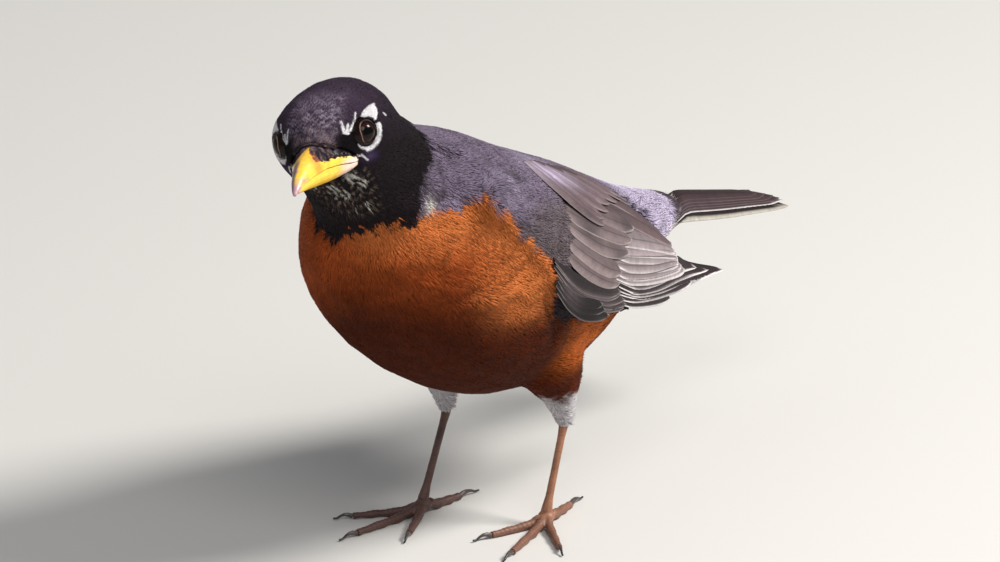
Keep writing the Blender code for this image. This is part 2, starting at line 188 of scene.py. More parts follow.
def through(rows, count):
    """A smooth curve through the rows, at count even steps of the list."""
    rows = np.asarray(rows, float)
    at = np.linspace(0, len(rows) - 1, count)
    index = np.clip(at.astype(int), 0, len(rows) - 2)
    share = (at - index)[:, None]
    before = rows[np.maximum(index - 1, 0)]
    here, after = rows[index], rows[index + 1]
    beyond = rows[np.minimum(index + 2, len(rows) - 1)]
    return 0.5 * (2 * here + (after - before) * share
                  + (2 * before - 5 * here + 4 * after - beyond) * share ** 2
                  + (3 * here - before - 3 * after + beyond) * share ** 3)


def waves(places, scale, seed):
    """Smooth noise of about -1 to 1 from a few sines, scale in mm."""
    dice = np.random.default_rng(seed)
    total = np.zeros(places.shape[:-1])
    for _ in range(7):
        way = unit(dice.normal(size=3)) * 2 * math.pi / (scale * dice.uniform(0.6, 1.6))
        total += np.sin(places @ way + dice.uniform(0, 2 * math.pi))
    return total / 2.6


CHUNK = 20000                    # places worked on at a time
LIE_SPREAD = 220                 # mm2: how softly the line's directions blend beside it
LIE_LINE = through(LIE, 80)
LIE_WAYS = unit(np.gradient(LIE_LINE, axis=0))


def lie_gaps(places):
    """For chunks of the places: which ones, and the squared mm from each to the points of the line."""
    for start in range(0, len(places), CHUNK):
        part = slice(start, start + CHUNK)
        yield part, ((places[part, None] - LIE_LINE[None]) ** 2).sum(-1)


def lie_of(places, normals):
    """The way the feathers point, along the surface, for each place."""
    ways = np.empty_like(places)
    for part, gap in lie_gaps(places):
        weight = np.exp(-(gap - gap.min(1, keepdims=True)) / LIE_SPREAD)
        ways[part] = unit(weight @ LIE_WAYS)
    ways -= normals * (ways * normals).sum(-1, keepdims=True)
    return unit(ways)


def along_lie(places):
    """How far round the bird and along it, 0.02 to 0.98: an unwrap of its own shape."""
    nearest = np.empty(len(places), int)
    for part, gap in lie_gaps(places):
        nearest[part] = gap.argmin(1)
    offset = places - LIE_LINE[nearest]
    way = LIE_WAYS[nearest]
    share = nearest + np.clip((offset * way).sum(-1) / 3, -0.5, 0.5)
    over = offset[:, 0] * way[:, 2] - offset[:, 2] * way[:, 0]
    around = np.arctan2(offset[:, 1], over) / (2 * math.pi) + 0.5
    return 0.02 + 0.96 * np.stack((around, share / len(LIE_LINE)), -1)


# ---- markings, shared by the skin and the coat ---------------------------------------------

def tone(red, green, blue):
    """A colour in linear light."""
    return np.array((red, green, blue))


BLACK = tone(0.0205, 0.015, 0.0215)
# Painted sheen: light reflected off the black crown, painted into its colour
CROWN_SHEEN = tone(0.070, 0.045, 0.078)
THROAT = tone(0.0140, 0.0102, 0.0127)
WHITE = tone(0.86, 0.84, 0.87)
STREAK = tone(0.55, 0.54, 0.50)
FROST = tone(0.45, 0.37, 0.47)
NASAL_FROST = tone(0.25, 0.17, 0.18)
# Painted sheen on the black cheeks
CHEEK_SHEEN = tone(0.10, 0.065, 0.17)
BROWN_FLECK = tone(0.205, 0.155, 0.115)
CHIN_PALE = tone(0.40, 0.40, 0.34)
GREY = tone(0.160, 0.127, 0.182)
BROWN_GREY = tone(0.115, 0.091, 0.097)
GREY_DARK = tone(0.040, 0.031, 0.042)
GREY_PALE = tone(0.54, 0.48, 0.64)
ORANGE = tone(0.350, 0.070, 0.015)
# The breast's painted light
ORANGE_LIT = tone(0.520, 0.155, 0.042)
# The painted light on the flanks
ORANGE_FLANK_LIT = tone(0.540, 0.130, 0.022)
# The painted shade low on the breast; the thighs are also darker with it
ORANGE_DEEP = tone(0.058, 0.0090, 0.0016)
VENT = tone(0.72, 0.68, 0.66)
ANKLE_WHITE = tone(0.62, 0.60, 0.63)
TAIL_TOP = tone(0.046, 0.027, 0.031)

NAPE_SLOPE = 0.85                # mm ahead for each mm down, along the hood's edge at the nape
# That edge: its height, and ahead + NAPE_SLOPE * up there
NAPE_EDGE = ((107, 147), (110, 148), (115, 152.6), (118.7, 155), (122.4, 156), (126.4, 154.5),
             (129.2, 156), (131.9, 157.5))
# The hood's lower edge on the breast: left, up
BIB_EDGE = ((-24, 98.5), (-14, 99.5), (-6.2, 100.5), (-4.5, 98.8), (-3, 101), (2, 103), (7.2, 106),
            (10.7, 107), (14.5, 110.5), (17, 109), (18.6, 106.5), (19.8, 110), (21, 112.5), (24, 118))
# The rufous underparts' upper edge, and the white vent's: ahead, up
RUFOUS_TOP = ((-60, 62), (-30, 65), (-16, 66.5), (2, 68), (11, 69.5), (15, 72), (17, 79), (18, 89),
              (25, 96.5), (32, 103), (35, 109), (37.5, 112), (40, 111.5), (44, 108.5), (52, 111), (60, 109))
VENT_TOP = ((-90, 68.5), (-60, 67), (-30, 64))


def nape_gap(places):
    """How far ahead of the hood's edge at the nape places are, in mm."""
    ahead, _, up = apart(places)
    return ahead + NAPE_SLOPE * up - read_off(NAPE_EDGE, up)


def hood_share(places):
    """1 in the black hood, 0 outside, with the ragged points of its lower edge."""
    _, left, up = apart(places)
    ragged = 1.3 * waves(places * (1, 1, 0.3), 6.5, 3) + 1.6 * waves(places * (1, 1, 0.25), 2.4, 4)
    above = step(-0.7, 0.7, up - read_off(BIB_EDGE, left) + ragged)
    return above * step(-1.3, 1.3, nape_gap(places) + 0.7 * ragged)


def belly_share(places):
    """1 on the rufous underparts, 0 on the grey upperparts, with a ragged edge."""
    ahead, left, up = apart(places)
    top = read_off(RUFOUS_TOP, ahead) + 5 * step(19, 16, left) * step(38, 42, ahead)
    ragged = 0.8 * waves(places, 8, 11) + 0.9 * waves(places * (1, 1, 0.4), 2.8, 12)
    return step(-1, 1, top - up + ragged)


# Dark spots of the shoulder: ahead, share across the wing, radius in mm
SHOULDER_SPOTS = ((26.4, 0.80, 2.2), (15.5, 0.70, 3.2), (19.9, 0.76, 2.6), (12.5, 0.66, 2.4),
                  (32.5, 0.88, 2.0), (17.5, 0.15, 2.6), (22.9, 0.93, 1.6))
# The painted highlight along the line of the left scapulars that catch the light: its middle, its height
# there, how it rises ahead, and how long and wide it is
SHINE_MIDDLE, SHINE_UP, SHINE_RISE = -6.0, 104.42, 0.48
SHINE_SIZE = (8.5, np.inf, 2.3)


def shine_share(places):
    """1 along the painted highlight on the line of the left scapulars that catches the light, 0 away from
    it.
    """
    ahead, left, up = apart(places)
    level = np.stack((ahead, left, up - SHINE_RISE * (ahead - SHINE_MIDDLE)), -1)
    return soft_spot(level, (SHINE_MIDDLE, 0, SHINE_UP), SHINE_SIZE) * (left > 0)


def shoulder_spots(places):
    """1 in the dark spots of both shoulders, 0 between them."""
    clear = np.ones(places.shape[:-1])
    for sheet in WING_SHEETS.values():
        for ahead, share, radius in SHOULDER_SPOTS:
            gap = np.linalg.norm((places - sheet.at(ahead, share, -1.0)) * (0.8, 1, 1), axis=-1)
            clear *= 1 - 0.8 * step(radius * 1.35, radius * 0.4, gap)
    return 1 - clear


def upper_grey(places):
    """The grey of the back, shoulders and rump, with darker feather middles and paler edges, painted light
    and a painted highlight on the left side, and painted shade under the alula.
    """
    ahead, left, up = apart(places)
    outward = np.abs(left)
    mottle = 1 + (0.10 * waves(places, 9, 21) + 0.06 * waves(places, 3.5, 23))[..., None]
    streaks = step(0.8, 1.5, waves(places * (0.35, 1, 1), 3.2, 22))
    nape = step(-7, 3, nape_gap(places)) * step(1.2, 0.1, waves(places * (0.5, 1, 1), 4.5, 26))
    shoulder = step(22, 31, outward) * step(108, 100, up)
    # Painted shade: nearly black on the body under the wing's bend by the alula
    shade_under_alula = step(82.5, 79, up) * step(24, 30, outward) * step(22, 18, ahead)
    # Painted light: a paler pool on the left side of the back, where the light falls
    painted_light = soft_spot(places, (25, 0, 111), (9, np.inf, 4)) * step(18, 25, left)
    rump = step(-36, -56, ahead) * step(58, 66, up)
    tail_root = step(-72.5, -75.5, ahead + 1.2 * waves(places, 4, 29)) * step(64, 67, up)
    return painted(GREY * mottle, (GREY_DARK, 0.42 * streaks), (GREY_DARK, 0.5 * nape),
                   (GREY_DARK, shoulder_spots(places)), (BROWN_GREY * mottle, 0.85 * shoulder),
                   (BLACK, 0.9 * shade_under_alula), (GREY_PALE, 0.22 * painted_light),
                   (GREY_PALE, 0.75 * shine_share(places)), (GREY_PALE * mottle, 0.78 * rump),
                   (TAIL_TOP, 0.9 * tail_root))


def rufous(places):
    """The breast's rufous: painted light makes it brightest above, by the wing and on the flanks, painted
    shade deep brown below and to the right.
    """
    ahead, left, up = apart(places)
    # Painted shade: the breast turns deep brown towards the bottom
    low = step(103, 75, up + 0.1 * (left - 14) + 0.8 * np.maximum(2 - left, 0))
    # Painted light: brighter on the upper breast and beside the wing
    above = 0.9 * step(94, 106, up) * step(-8, 10, left)
    lit_by_wing = step(68, 84, up) * step(26, 35, left)
    # Painted light: the flanks below the wing are brighter
    lit_flank = step(13, -4, ahead) * step(20, 29, left) * step(46, 56, up)
    shank = step(50, 42, up)
    fine = 0.07 * waves(places, 9, 24) + 0.05 * waves(places, 3, 27)
    orange = painted(ORANGE, (ORANGE_DEEP, 0.95 * low), (ORANGE_LIT, np.clip(above + lit_by_wing, 0, 1)),
                     (ORANGE_FLANK_LIT, lit_flank), (ORANGE_DEEP * 1.6, 0.6 * shank))
    return orange * (1 + fine)[..., None]


def body_colour(places):
    """Grey above, rufous below, with the white vent and ankles."""
    ahead, left, up = apart(places)
    vent_edge = -30 + 12 * np.exp(-(left / 12) ** 2) + 2.5 * waves(places, 5, 25)
    vent = step(2, -2, ahead - vent_edge) * step(3, -3, up - read_off(VENT_TOP, ahead))
    ankle = step(41.5, 36.5, up + 1.2 * waves(places, 4, 28)) * step(-40, -30, ahead)
    neck_fleck = soft_spot(places, (52.6, 0, 113.4), (1.6, np.inf, 2.4)) * (left > 0)
    return painted(upper_grey(places), (rufous(places), belly_share(places)), (VENT, vent),
                   (ANKLE_WHITE, 0.9 * ankle), (STREAK * 1.3, 0.8 * neck_fleck))


EYE_AT = (1.2, 10.2, 0.8)        # in the head's frame: ahead, to its left, up
EYE_RADIUS = 4.8
EYE_TURN, EYE_RAISE = 38.0, 0.04     # degrees that each eye looks ahead of straight out, and its slope up
LID_WIDE, LID_TALL = 32.5, 39.5      # degrees from the eye's axis to the lids' edge, across and up
LID_FRONT = 7.5                  # degrees less than that at the front


def lid_edge(way):
    """The lids' edge in degrees from the eye's axis, by the way round it in degrees."""
    across = np.cos(np.radians(way))
    return LID_TALL + (LID_WIDE - LID_TALL) * across ** 2 - LID_FRONT * np.maximum(across, 0) ** 2


def eye_frame(side):
    """An eye's centre and axis in the bird's millimetres, side +1 for the left."""
    centre = from_head((EYE_AT[0], side * EYE_AT[1], EYE_AT[2]))
    turn = math.radians(EYE_TURN)
    axis = HEAD_AXES @ np.array((math.sin(turn), side * math.cos(turn), EYE_RAISE))
    return centre, unit(axis)


def eye_axes(side):
    """An eye's centre and axis, and the ways ahead and up across it."""
    centre, axis = eye_frame(side)
    upward = HEAD_AXES @ np.array((0.0, 0.0, 1.0))
    upward = unit(upward - axis * (upward @ axis))
    return centre, axis, unit(np.cross(axis, upward)) * side, upward


def eye_angles(places, side):
    """Degrees of places from an eye's axis and round it (0 ahead, 90 up), and mm from its centre."""
    centre, axis, forward, upward = eye_axes(side)
    offset = places - centre
    reach = np.maximum(np.linalg.norm(offset, axis=-1), 1e-6)
    angle = np.degrees(np.arccos(np.clip(offset @ axis / reach, -1, 1)))
    return angle, np.degrees(np.arctan2(offset @ upward, offset @ forward)) % 360, reach


# The white ring's edges: way round the eye, then the angles from its axis of the outer and inner edge
RING = (
    (0, 30, 44), (60, 30, 44), (74, 42, 46), (80, 55, 46), (91, 62, 49), (109, 72, 55), (122, 79, 57),
    (133, 86, 57), (138, 91, 57), (141, 82, 57), (144, 79, 56), (147, 70, 54), (150, 52, 53), (155, 40, 50),
    (160, 46, 48), (164, 55, 46), (169, 57, 41), (185, 54, 37), (202, 51, 36), (223, 53, 37), (244, 55, 38),
    (262, 57, 40), (280, 60, 40), (286, 61, 40), (292, 58, 39), (312, 58, 37), (325, 56, 35), (338, 49, 34),
    (345, 40, 35), (360, 30, 44),
)

RING_REACH = 11.0                # mm from the eye's centre within which the ring lies


def eye_share(places):
    """1 on the white feathers of the ring round each eye."""
    ways, outer, inner = np.array(RING, float).T
    total = np.zeros(places.shape[:-1])
    for side in SIDES:
        angle, way, reach = eye_angles(places, side)
        out, within = np.interp(way, ways, outer), np.interp(way, ways, inner)
        ring = step(2.5, -1.5, angle - out) * step(-3, -1, angle - within)
        total = np.maximum(total, ring * (out > within) * (reach < RING_REACH))
    return total


# An oval about as large as the head, in its own frame: its middle and half widths
HEAD_MIDDLE, HEAD_ROUND = (-6.0, 0.0, -2.0), (13.0, 16.0, 15.0)
LINE_FLAT = 0.8                  # how far a line on the head leaves out the depth below it
LINE_EDGE, LINE_CORE = 1.15, 0.6     # a line fades between these shares of its half width


def near_line(near, start, end, width):
    """1 close to a line drawn on the head's left side, 0 beyond its half width."""
    start, end = np.array(start, float), np.array(end, float)
    run = end - start
    share = np.clip(((near - start) @ run) / (run @ run), 0, 1)
    offset = near - start - share[..., None] * run
    out = unit((start - HEAD_MIDDLE) / np.array(HEAD_ROUND) ** 2)
    offset = offset - LINE_FLAT * (offset @ out)[..., None] * out
    return step(width * LINE_EDGE, width * LINE_CORE, np.linalg.norm(offset, axis=-1))


# Lines of pale feathers on each side of the head, in its own frame: start, end, half width in mm
PRONGS = (
    ((7.0, 7.6, 5.8), (7.8, 8.0, 4.5), 0.30), ((7.8, 8.0, 4.5), (8.4, 8.2, 3.0), 0.48),
    ((8.4, 8.2, 2.9), (7.8, 9.0, 2.5), 0.5), ((6.7, 9.2, 4.6), (7.8, 8.8, 2.8), 0.4),
    ((3.3, 11.0, 6.8), (4.9, 11.0, 5.2), 0.3), ((4.9, 11.0, 5.2), (5.9, 10.4, 4.2), 0.5),
    ((5.9, 10.4, 4.2), (7.0, 9.6, 3.0), 0.42),
)
CHEEK_FLECKS = (
    ((7.4, 9.6, -3.7), (6.3, 10.2, -4.6), 0.4), ((5.8, 10.8, -4.6), (4.4, 11.6, -6.6), 0.38),
    ((-4.0, 16.6, 3.6), (-4.4, 16.8, 3.1), 0.45),
)
THROAT_STREAKS = (
    ((12.0, 4.8, -8.4), (9.0, 4.4, -9.9), 0.40), ((8.5, 5.0, -9.1), (4.1, 5.4, -13.0), 0.31),
    ((6.3, 6.2, -10.4), (3.9, 7.4, -12.1), 0.37), ((3.9, 7.4, -12.1), (2.1, 8.8, -14.2), 0.26),
    ((3.4, 6.6, -13.6), (1.6, 7.8, -14.8), 0.25), ((7.3, 0.6, -11.9), (1.5, 0.8, -16.6), 0.31),
    ((3.0, 2.4, -14.9), (1.4, 2.8, -17.3), 0.26), ((1.3, 1.7, -18.6), (0.0, 2.2, -21.8), 0.42),
    ((-0.3, 2.6, -22.7), (-2.7, 2.2, -26.0), 0.42), ((2.4, 5.9, -15.2), (1.0, 7.3, -17.4), 0.26),
    ((-0.4, 6.2, -18.3), (-1.2, 6.0, -20.6), 0.17), ((-9.0, 13.1, -24.5), (-12.6, 14.2, -27.6), 0.12),
    ((-2.2, 13.7, -18.9), (-4.9, 15.8, -20.6), 0.14), ((-5.0, 15.5, -21.2), (-6.9, 16.5, -23.6), 0.13),
)

STREAK_SHIFT = (0.5, 0, 0.9)     # mm that the streaks' roots are ahead of the streaks
# Sets of lines, the lowest first: their colour, how much wider they are, and their roots' shift
HEAD_LINES = ((THROAT_STREAKS, STREAK, 1.35, STREAK_SHIFT), (CHEEK_FLECKS, WHITE * 0.8, 1, (0, 0, 0)),
              (PRONGS, WHITE, 1, (0, 0, 0)))


def head_colour(places):
    """The black hood with a painted purple sheen on the crown and cheeks, frosted forehead, streaked throat
    and white marks.
    """
    head = to_head(places)
    near = mirrored(head)
    ahead, left, up = apart(near)
    # Painted sheen: lighter towards the top and the front of the head
    sheen = step(-1, 11, up) * (0.4 + 0.6 * step(-12, 6, ahead))
    grain = waves(places, 0.75, 31) + 0.5 * waves(places, 2.5, 34)
    frost = step(-0.8, 1.5, grain) * step(0, 6, up) * step(-6, 7, ahead) * step(9.5, 6, left)
    nasal = step(-4, -1.5, up) * step(9, 13, ahead) * step(7.5, 5.5, left)
    nasal = nasal * step(-0.4, 1.2, waves(places, 1.5, 32))
    lores = step(2.5, 6, ahead) * step(13.5, 10, ahead) * step(5.2, 7.2, left)
    lores = lores * step(4.6, 2.4, np.abs(up + 0.3))
    streaky = waves(head * (0.4, 1.3, 0.6), 1.3, 33)
    throat = step(-7, -10, up) * step(-24, -20, up) * step(-6, 1, ahead) * step(12, 8.5, left)
    chin = near_line(near, (12.5, 3.4, -9.0), (6.5, 6.4, -9.6), 1.5) * step(-0.3, 0.6, streaky)
    # A painted sheen on each cheek, below and a little ahead of the eye
    cheek = soft_spot(near, (3.6, 12.4, -5.8), (2, 2.2, 1.6))
    colour = painted(BLACK, (CROWN_SHEEN, sheen), (FROST, 0.62 * frost), (NASAL_FROST, 0.85 * nasal),
                     (BLACK * 0.3, lores), (THROAT, step(1, -7, up)),
                     (BROWN_FLECK, 0.8 * step(0.2, 1.2, streaky) * throat), (CHIN_PALE, 0.7 * chin),
                     (CHEEK_SHEEN, 0.6 * cheek))
    for lines, line_tone, swell, shift in HEAD_LINES:
        for start, end, width in lines:
            colour = blended(colour, line_tone, near_line(near - shift, start, end, width * swell))
    return blended(colour, WHITE, eye_share(places))


HEAD_EDGE = (-24, -14)           # mm behind and below the head's middle, where it passes into the neck


def head_share(places):
    """1 on the head, 0 on the body, for choosing depths, lengths and colours."""
    ahead, _, up = apart(to_head(places))
    return step(*HEAD_EDGE, ahead + 0.35 * up) * step(*HEAD_EDGE, up)


def coat_colour(places):
    """The plumage's colour at places in the bird's millimetres."""
    return blended(body_colour(places), head_colour(places), hood_share(places))


# ---- making meshes -------------------------------------------------------------------------

def only(piece):
    """Selects one object alone and makes it the active one."""
    bpy.ops.object.select_all(action="DESELECT")
    piece.select_set(True)
    bpy.context.view_layer.objects.active = piece


def applied(piece, kind, **settings):
    """Adds a modifier with these settings and applies it."""
    only(piece)
    modifier = piece.modifiers.new(kind.lower(), kind)
    for name, value in settings.items():
        setattr(modifier, name, value)
    bpy.ops.object.modifier_apply(modifier=modifier.name)


def places_of(piece):
    """The piece's vertices, in the bird's millimetres."""
    flat = np.empty(len(piece.data.vertices) * 3)
    piece.data.vertices.foreach_get("co", flat)
    return in_bird(flat.reshape(-1, 3))


def normals_of(piece):
    """The way that its surface faces at each vertex, in the bird's directions."""
    flat = np.empty(len(piece.data.vertices) * 3)
    piece.data.vertex_normals.foreach_get("vector", flat)
    return turned_to_bird(flat.reshape(-1, 3))


def move_to(piece, places):
    """Moves its vertices to places in the bird's millimetres."""
    piece.data.vertices.foreach_set("co", in_frame(places).ravel())
    piece.data.update()


def tinted(piece, colours):
    """Writes a colour for each vertex into the piece's Tint attribute."""
    layer = piece.data.color_attributes.new("Tint", "FLOAT_COLOR", "POINT")
    filled = np.ones((len(colours), 4))
    filled[:, :3] = np.clip(colours, 0, 1)
    layer.data.foreach_set("color", filled.ravel())


def smooth(piece):
    """Shades a piece smooth."""
    piece.data.shade_smooth()
    return piece


def in_scene(name, data):
    """A new object in the scene for a mesh, lamp or camera."""
    made = bpy.data.objects.new(name, data)
    bpy.context.scene.collection.objects.link(made)
    return made


def copy_of(node, name):
    """A copy of a CAD node with its own mesh, its loose triangles merged."""
    piece = NODES[node].copy()
    piece.data = NODES[node].data.copy()
    piece.name = name
    piece.parent = None
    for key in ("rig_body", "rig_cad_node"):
        if key in piece:
            del piece[key]
    bpy.context.scene.collection.objects.link(piece)
    only(piece)
    bpy.ops.object.mode_set(mode="EDIT")
    bpy.ops.mesh.select_all(action="SELECT")
    bpy.ops.mesh.remove_doubles(threshold=0.01 * MM)
    bpy.ops.object.mode_set(mode="OBJECT")
    return piece


def joined(pieces, name):
    """Makes one object of several."""
    only(pieces[0])
    for piece in pieces:
        piece.select_set(True)
    bpy.ops.object.join()
    pieces[0].name = pieces[0].data.name = name
    return pieces[0]


def keep_largest(piece):
    """Deletes all but the largest connected part of a mesh."""
    shape = bmesh.new()
    shape.from_mesh(piece.data)
    unseen = set(shape.verts)
    parts = []
    while unseen:
        start = unseen.pop()
        part, edge = [start], [start]
        while edge:
            vertex = edge.pop()
            for link in vertex.link_edges:
                other = link.other_vert(vertex)
                if other in unseen:
                    unseen.remove(other)
                    part.append(other)
                    edge.append(other)
        parts.append(part)
    parts.sort(key=len)
    for part in parts[:-1]:
        bmesh.ops.delete(shape, geom=part, context="VERTS")
    shape.to_mesh(piece.data)
    shape.free()


def built(name, points, faces, material, colours, maps=None):
    """A mesh object from arrays of points and of same-sized faces, smooth shaded."""
    mesh = bpy.data.meshes.new(name)
    sides = faces.shape[1]
    mesh.vertices.add(len(points))
    mesh.vertices.foreach_set("co", np.asarray(points, np.float32).ravel())
    mesh.loops.add(faces.size)
    mesh.loops.foreach_set("vertex_index", faces.astype(np.int32).ravel())
    mesh.polygons.add(len(faces))
    mesh.polygons.foreach_set("loop_start", np.arange(0, faces.size, sides, dtype=np.int32))
    mesh.polygons.foreach_set("use_smooth", np.ones(len(faces), bool))
    mesh.update(calc_edges=True)
    for map_name, places in (maps or {}).items():
        layer = mesh.uv_layers.new(name=map_name)
        layer.data.foreach_set("uv", places[faces.ravel()].astype(np.float32).ravel())
    piece = in_scene(name, mesh)
    tinted(piece, colours)
    mesh.materials.append(material)
    return piece


# ---- materials -----------------------------------------------------------------------------

class Finish:
    """A Principled material and short ways to add nodes to it."""

    def __init__(self, name, **sockets):
        self.material = bpy.data.materials.new(name)
        self.material.use_nodes = True
        self.tree = self.material.node_tree
        self.shader = self.tree.nodes["Principled BSDF"]
        for socket, value in sockets.items():
            self.shader.inputs[socket.replace("_", " ")].default_value = value

    def node(self, kind, **values):
        """A new node with these settings and socket values."""
        made = self.tree.nodes.new(kind)
        for name, value in values.items():
            if hasattr(made, name):
                setattr(made, name, value)
            else:
                made.inputs[name.replace("_", " ")].default_value = value
        return made

    def link(self, start, end):
        """Joins an output to an input."""
        self.tree.links.new(start, end)

    def to_shader(self, output, socket):
        """Joins an output to one of the shader's sockets."""
        self.link(output, self.shader.inputs[socket])

    def places(self, stretch=(1000.0, 1000.0, 1000.0), uv=None):
        """Object coordinates in millimetres, or a UV map, stretched along each axis."""
        if uv:
            source = self.node("ShaderNodeUVMap", uv_map=uv).outputs["UV"]
        else:
            source = self.node("ShaderNodeTexCoord").outputs["Object"]
        mapping = self.node("ShaderNodeMapping", Scale=stretch)
        self.link(source, mapping.inputs["Vector"])
        return mapping.outputs["Vector"]

    def noise(self, places, scale, detail=3.0, roughness=0.55):
        """A noise pattern at these places."""
        made = self.node("ShaderNodeTexNoise", Scale=scale, Detail=detail, Roughness=roughness)
        self.link(places, made.inputs["Vector"])
        return made.outputs["Fac"]

    def ranged(self, value, low, high, start=0.3, end=0.7):
        """A pattern's range from start to end, brought to the range from low to high."""
        made = self.node("ShaderNodeMapRange", From_Min=start, From_Max=end, To_Min=low, To_Max=high)
        self.link(value, made.inputs["Value"])
        return made.outputs["Result"]

    def tint(self, *shares):
        """The Tint attribute, multiplied by the given values."""
        colour = self.node("ShaderNodeVertexColor", layer_name="Tint").outputs["Color"]
        for share in shares:
            scaled = self.node("ShaderNodeVectorMath", operation="SCALE")
            self.link(colour, scaled.inputs[0])
            self.link(share, scaled.inputs["Scale"])
            colour = scaled.outputs["Vector"]
        self.to_shader(colour, "Base Color")

    def bump(self, height, strength, distance):
        """Raises the surface by a pattern, by a distance in mm."""
        made = self.node("ShaderNodeBump", Strength=strength, Distance=distance * MM)
        self.link(height, made.inputs["Height"])
        self.to_shader(made.outputs["Normal"], "Normal")

    def grained(self, grain, *shares, tint, roughness, bump):
        """A grain that varies the tint, roughness and height. The shares vary the tint too."""
        self.tint(self.ranged(grain, *tint), *shares)
        self.to_shader(self.ranged(grain, *roughness), "Roughness")
        self.bump(grain, *bump)
        return self.material


def plumage_finish():
    """Fine barbs: their colour, roughness and height vary along each tuft."""
    finish = Finish("Plumage", Specular_IOR_Level=0.06)
    places = finish.places()
    fine, broad = finish.noise(places, 3.2, 4.0), finish.noise(places, 0.22, 2.0)
    return finish.grained(fine, finish.ranged(broad, 0.9, 1.1), tint=(0.8, 1.2), roughness=(0.57, 0.75),
                          bump=(0.25, 0.15))


def vane_finish(name, roughness, specular):
    """A firm feather's vane: barbs that run slanting from the shaft, by the piece's Barbs map."""
    finish = Finish(name, Specular_IOR_Level=specular)
    barbs = finish.noise(finish.places((4.2, 0.35, 1.0), uv="Barbs"), 1.0, 4.0, 0.6)
    broad = finish.noise(finish.places(), 0.35)
    return finish.grained(barbs, finish.ranged(broad, 0.88, 1.12), tint=(0.78, 1.2),
                          roughness=(roughness - 0.1, roughness + 0.1), bump=(0.5, 0.12))


def skin_finish():
    """The skin below the plumage, with the same markings and a down-like grain."""
    finish = Finish("Skin", Specular_IOR_Level=0.2)
    grain = finish.noise(finish.places(), 1.6, 5.0, 0.7)
    return finish.grained(grain, tint=(0.65, 0.95), roughness=(0.75, 0.95), bump=(0.6, 0.4))


# ---- skin ----------------------------------------------------------------------------------

def coat_depth(places):
    """How far the skin lies below the coat's outline."""
    ankle = step(50, 38, places[..., 2])
    depth = eased(BODY_DEPTH, HEAD_DEPTH, head_share(places)) - 0.3 * eye_near(places)
    return depth * (1 - 0.5 * ankle)


FINE_REACH = 8.8                 # mm round each eye's centre where the skin gets small faces
LID_REACH = 9.5                  # mm round it where the skin is formed to lids
LID_EASE = 17.0                  # degrees beyond the lids' edge over which the skin eases down to them
LID_COVER, LID_HOLLOW = 1.05, 0.84   # the skin's reach at the lids and inside them, in the ball's radii


def refined_near_eyes(piece):
    """Gives the skin round the eyes small faces, for the lids."""
    shape = bmesh.new()
    shape.from_mesh(piece.data)
    for side in SIDES:
        centre, _ = eye_frame(side)
        places = in_bird([vertex.co for vertex in shape.verts])
        close = np.linalg.norm(places - centre, axis=1) < FINE_REACH
        near = [edge for edge in shape.edges if close[edge.verts[0].index] and close[edge.verts[1].index]]
        bmesh.ops.subdivide_edges(shape, edges=near, cuts=2, use_grid_fill=True, smooth=0.4)
        shape.verts.index_update()
    bmesh.ops.triangulate(shape, faces=[face for face in shape.faces if len(face.verts) > 4])
    shape.to_mesh(piece.data)
    shape.free()


def lidded(places):
    """Takes skin off each eye's opening, and eases it down to lids that lie close over the ball."""
    cover = EYE_RADIUS * LID_COVER
    for side in SIDES:
        centre, _ = eye_frame(side)
        angle, way, reach = eye_angles(places, side)
        past = angle - lid_edge(way)
        near = reach < LID_REACH
        wanted = np.where(near & (past < 0), LID_HOLLOW * EYE_RADIUS, reach)
        lid = cover + (reach - cover) * step(1, LID_EASE, past)
        wanted = np.where(near & (past >= 0) & (past < LID_EASE), lid, wanted)
        places = centre + (places - centre) * (wanted / reach)[:, None]
    return places


def crease_share(places):
    """1 along the front of each wing's lower edge, where the breast's feathers lie over it."""
    ahead, left, up = apart(places)
    total = np.zeros(len(places))
    for sheet in WING_SHEETS.values():
        share = wing_share(sheet, places)
        lower = step(0.66, 0.85, share) * step(1.35, 1.15, share) * step(8, 16, ahead) * step(46, 40, ahead)
        front = step(27, 32, ahead) * step(50, 43, ahead) * (up > 84)
        total = np.maximum(total, np.maximum(lower, front) * (sheet.side * left > 15))
    return total


def smoothed_by(piece, weights, passes):
    """Smooths a mesh by a weight for each of its vertices."""
    group = piece.vertex_groups.new(name="smoothing")
    for level in (0.25, 0.5, 0.75, 1.0):
        own = np.flatnonzero((weights > level - 0.2) & (weights <= level + 0.05))
        group.add(own.tolist(), level, "REPLACE")
    applied(piece, "SMOOTH", factor=0.5, iterations=passes, vertex_group="smoothing")
    piece.vertex_groups.clear()


def sunk(places):
    """Lets the skin lie well below the wings' firm feathers."""
    for sheet in WING_SHEETS.values():
        share = wing_share(sheet, places)
        lid = nearest_on(sheet, places, share)
        allowed = np.hypot(lid[:, 1], lid[:, 2] - WING_AXIS_UP) - SUNK_DEPTH
        reach = np.maximum(np.hypot(places[:, 1], places[:, 2] - WING_AXIS_UP), 1e-6)
        behind = read_off(ARM_EDGE, share) - places[:, 0]
        inner = share - read_off(SOFT_RIM, places[:, 0])
        cover = step(0.5, 3.5, behind) * step(1.17, 1.04, share) * step(0, 0.08, inner)
        cover = cover * (sheet.side * places[:, 1] > 0) * (places[:, 0] > WING_BACK)
        lower = np.clip(reach - allowed, 0, 6) * cover / reach
        places = places - lower[:, None] * (places - (0, 0, WING_AXIS_UP)) * (0, 1, 1)
    return places


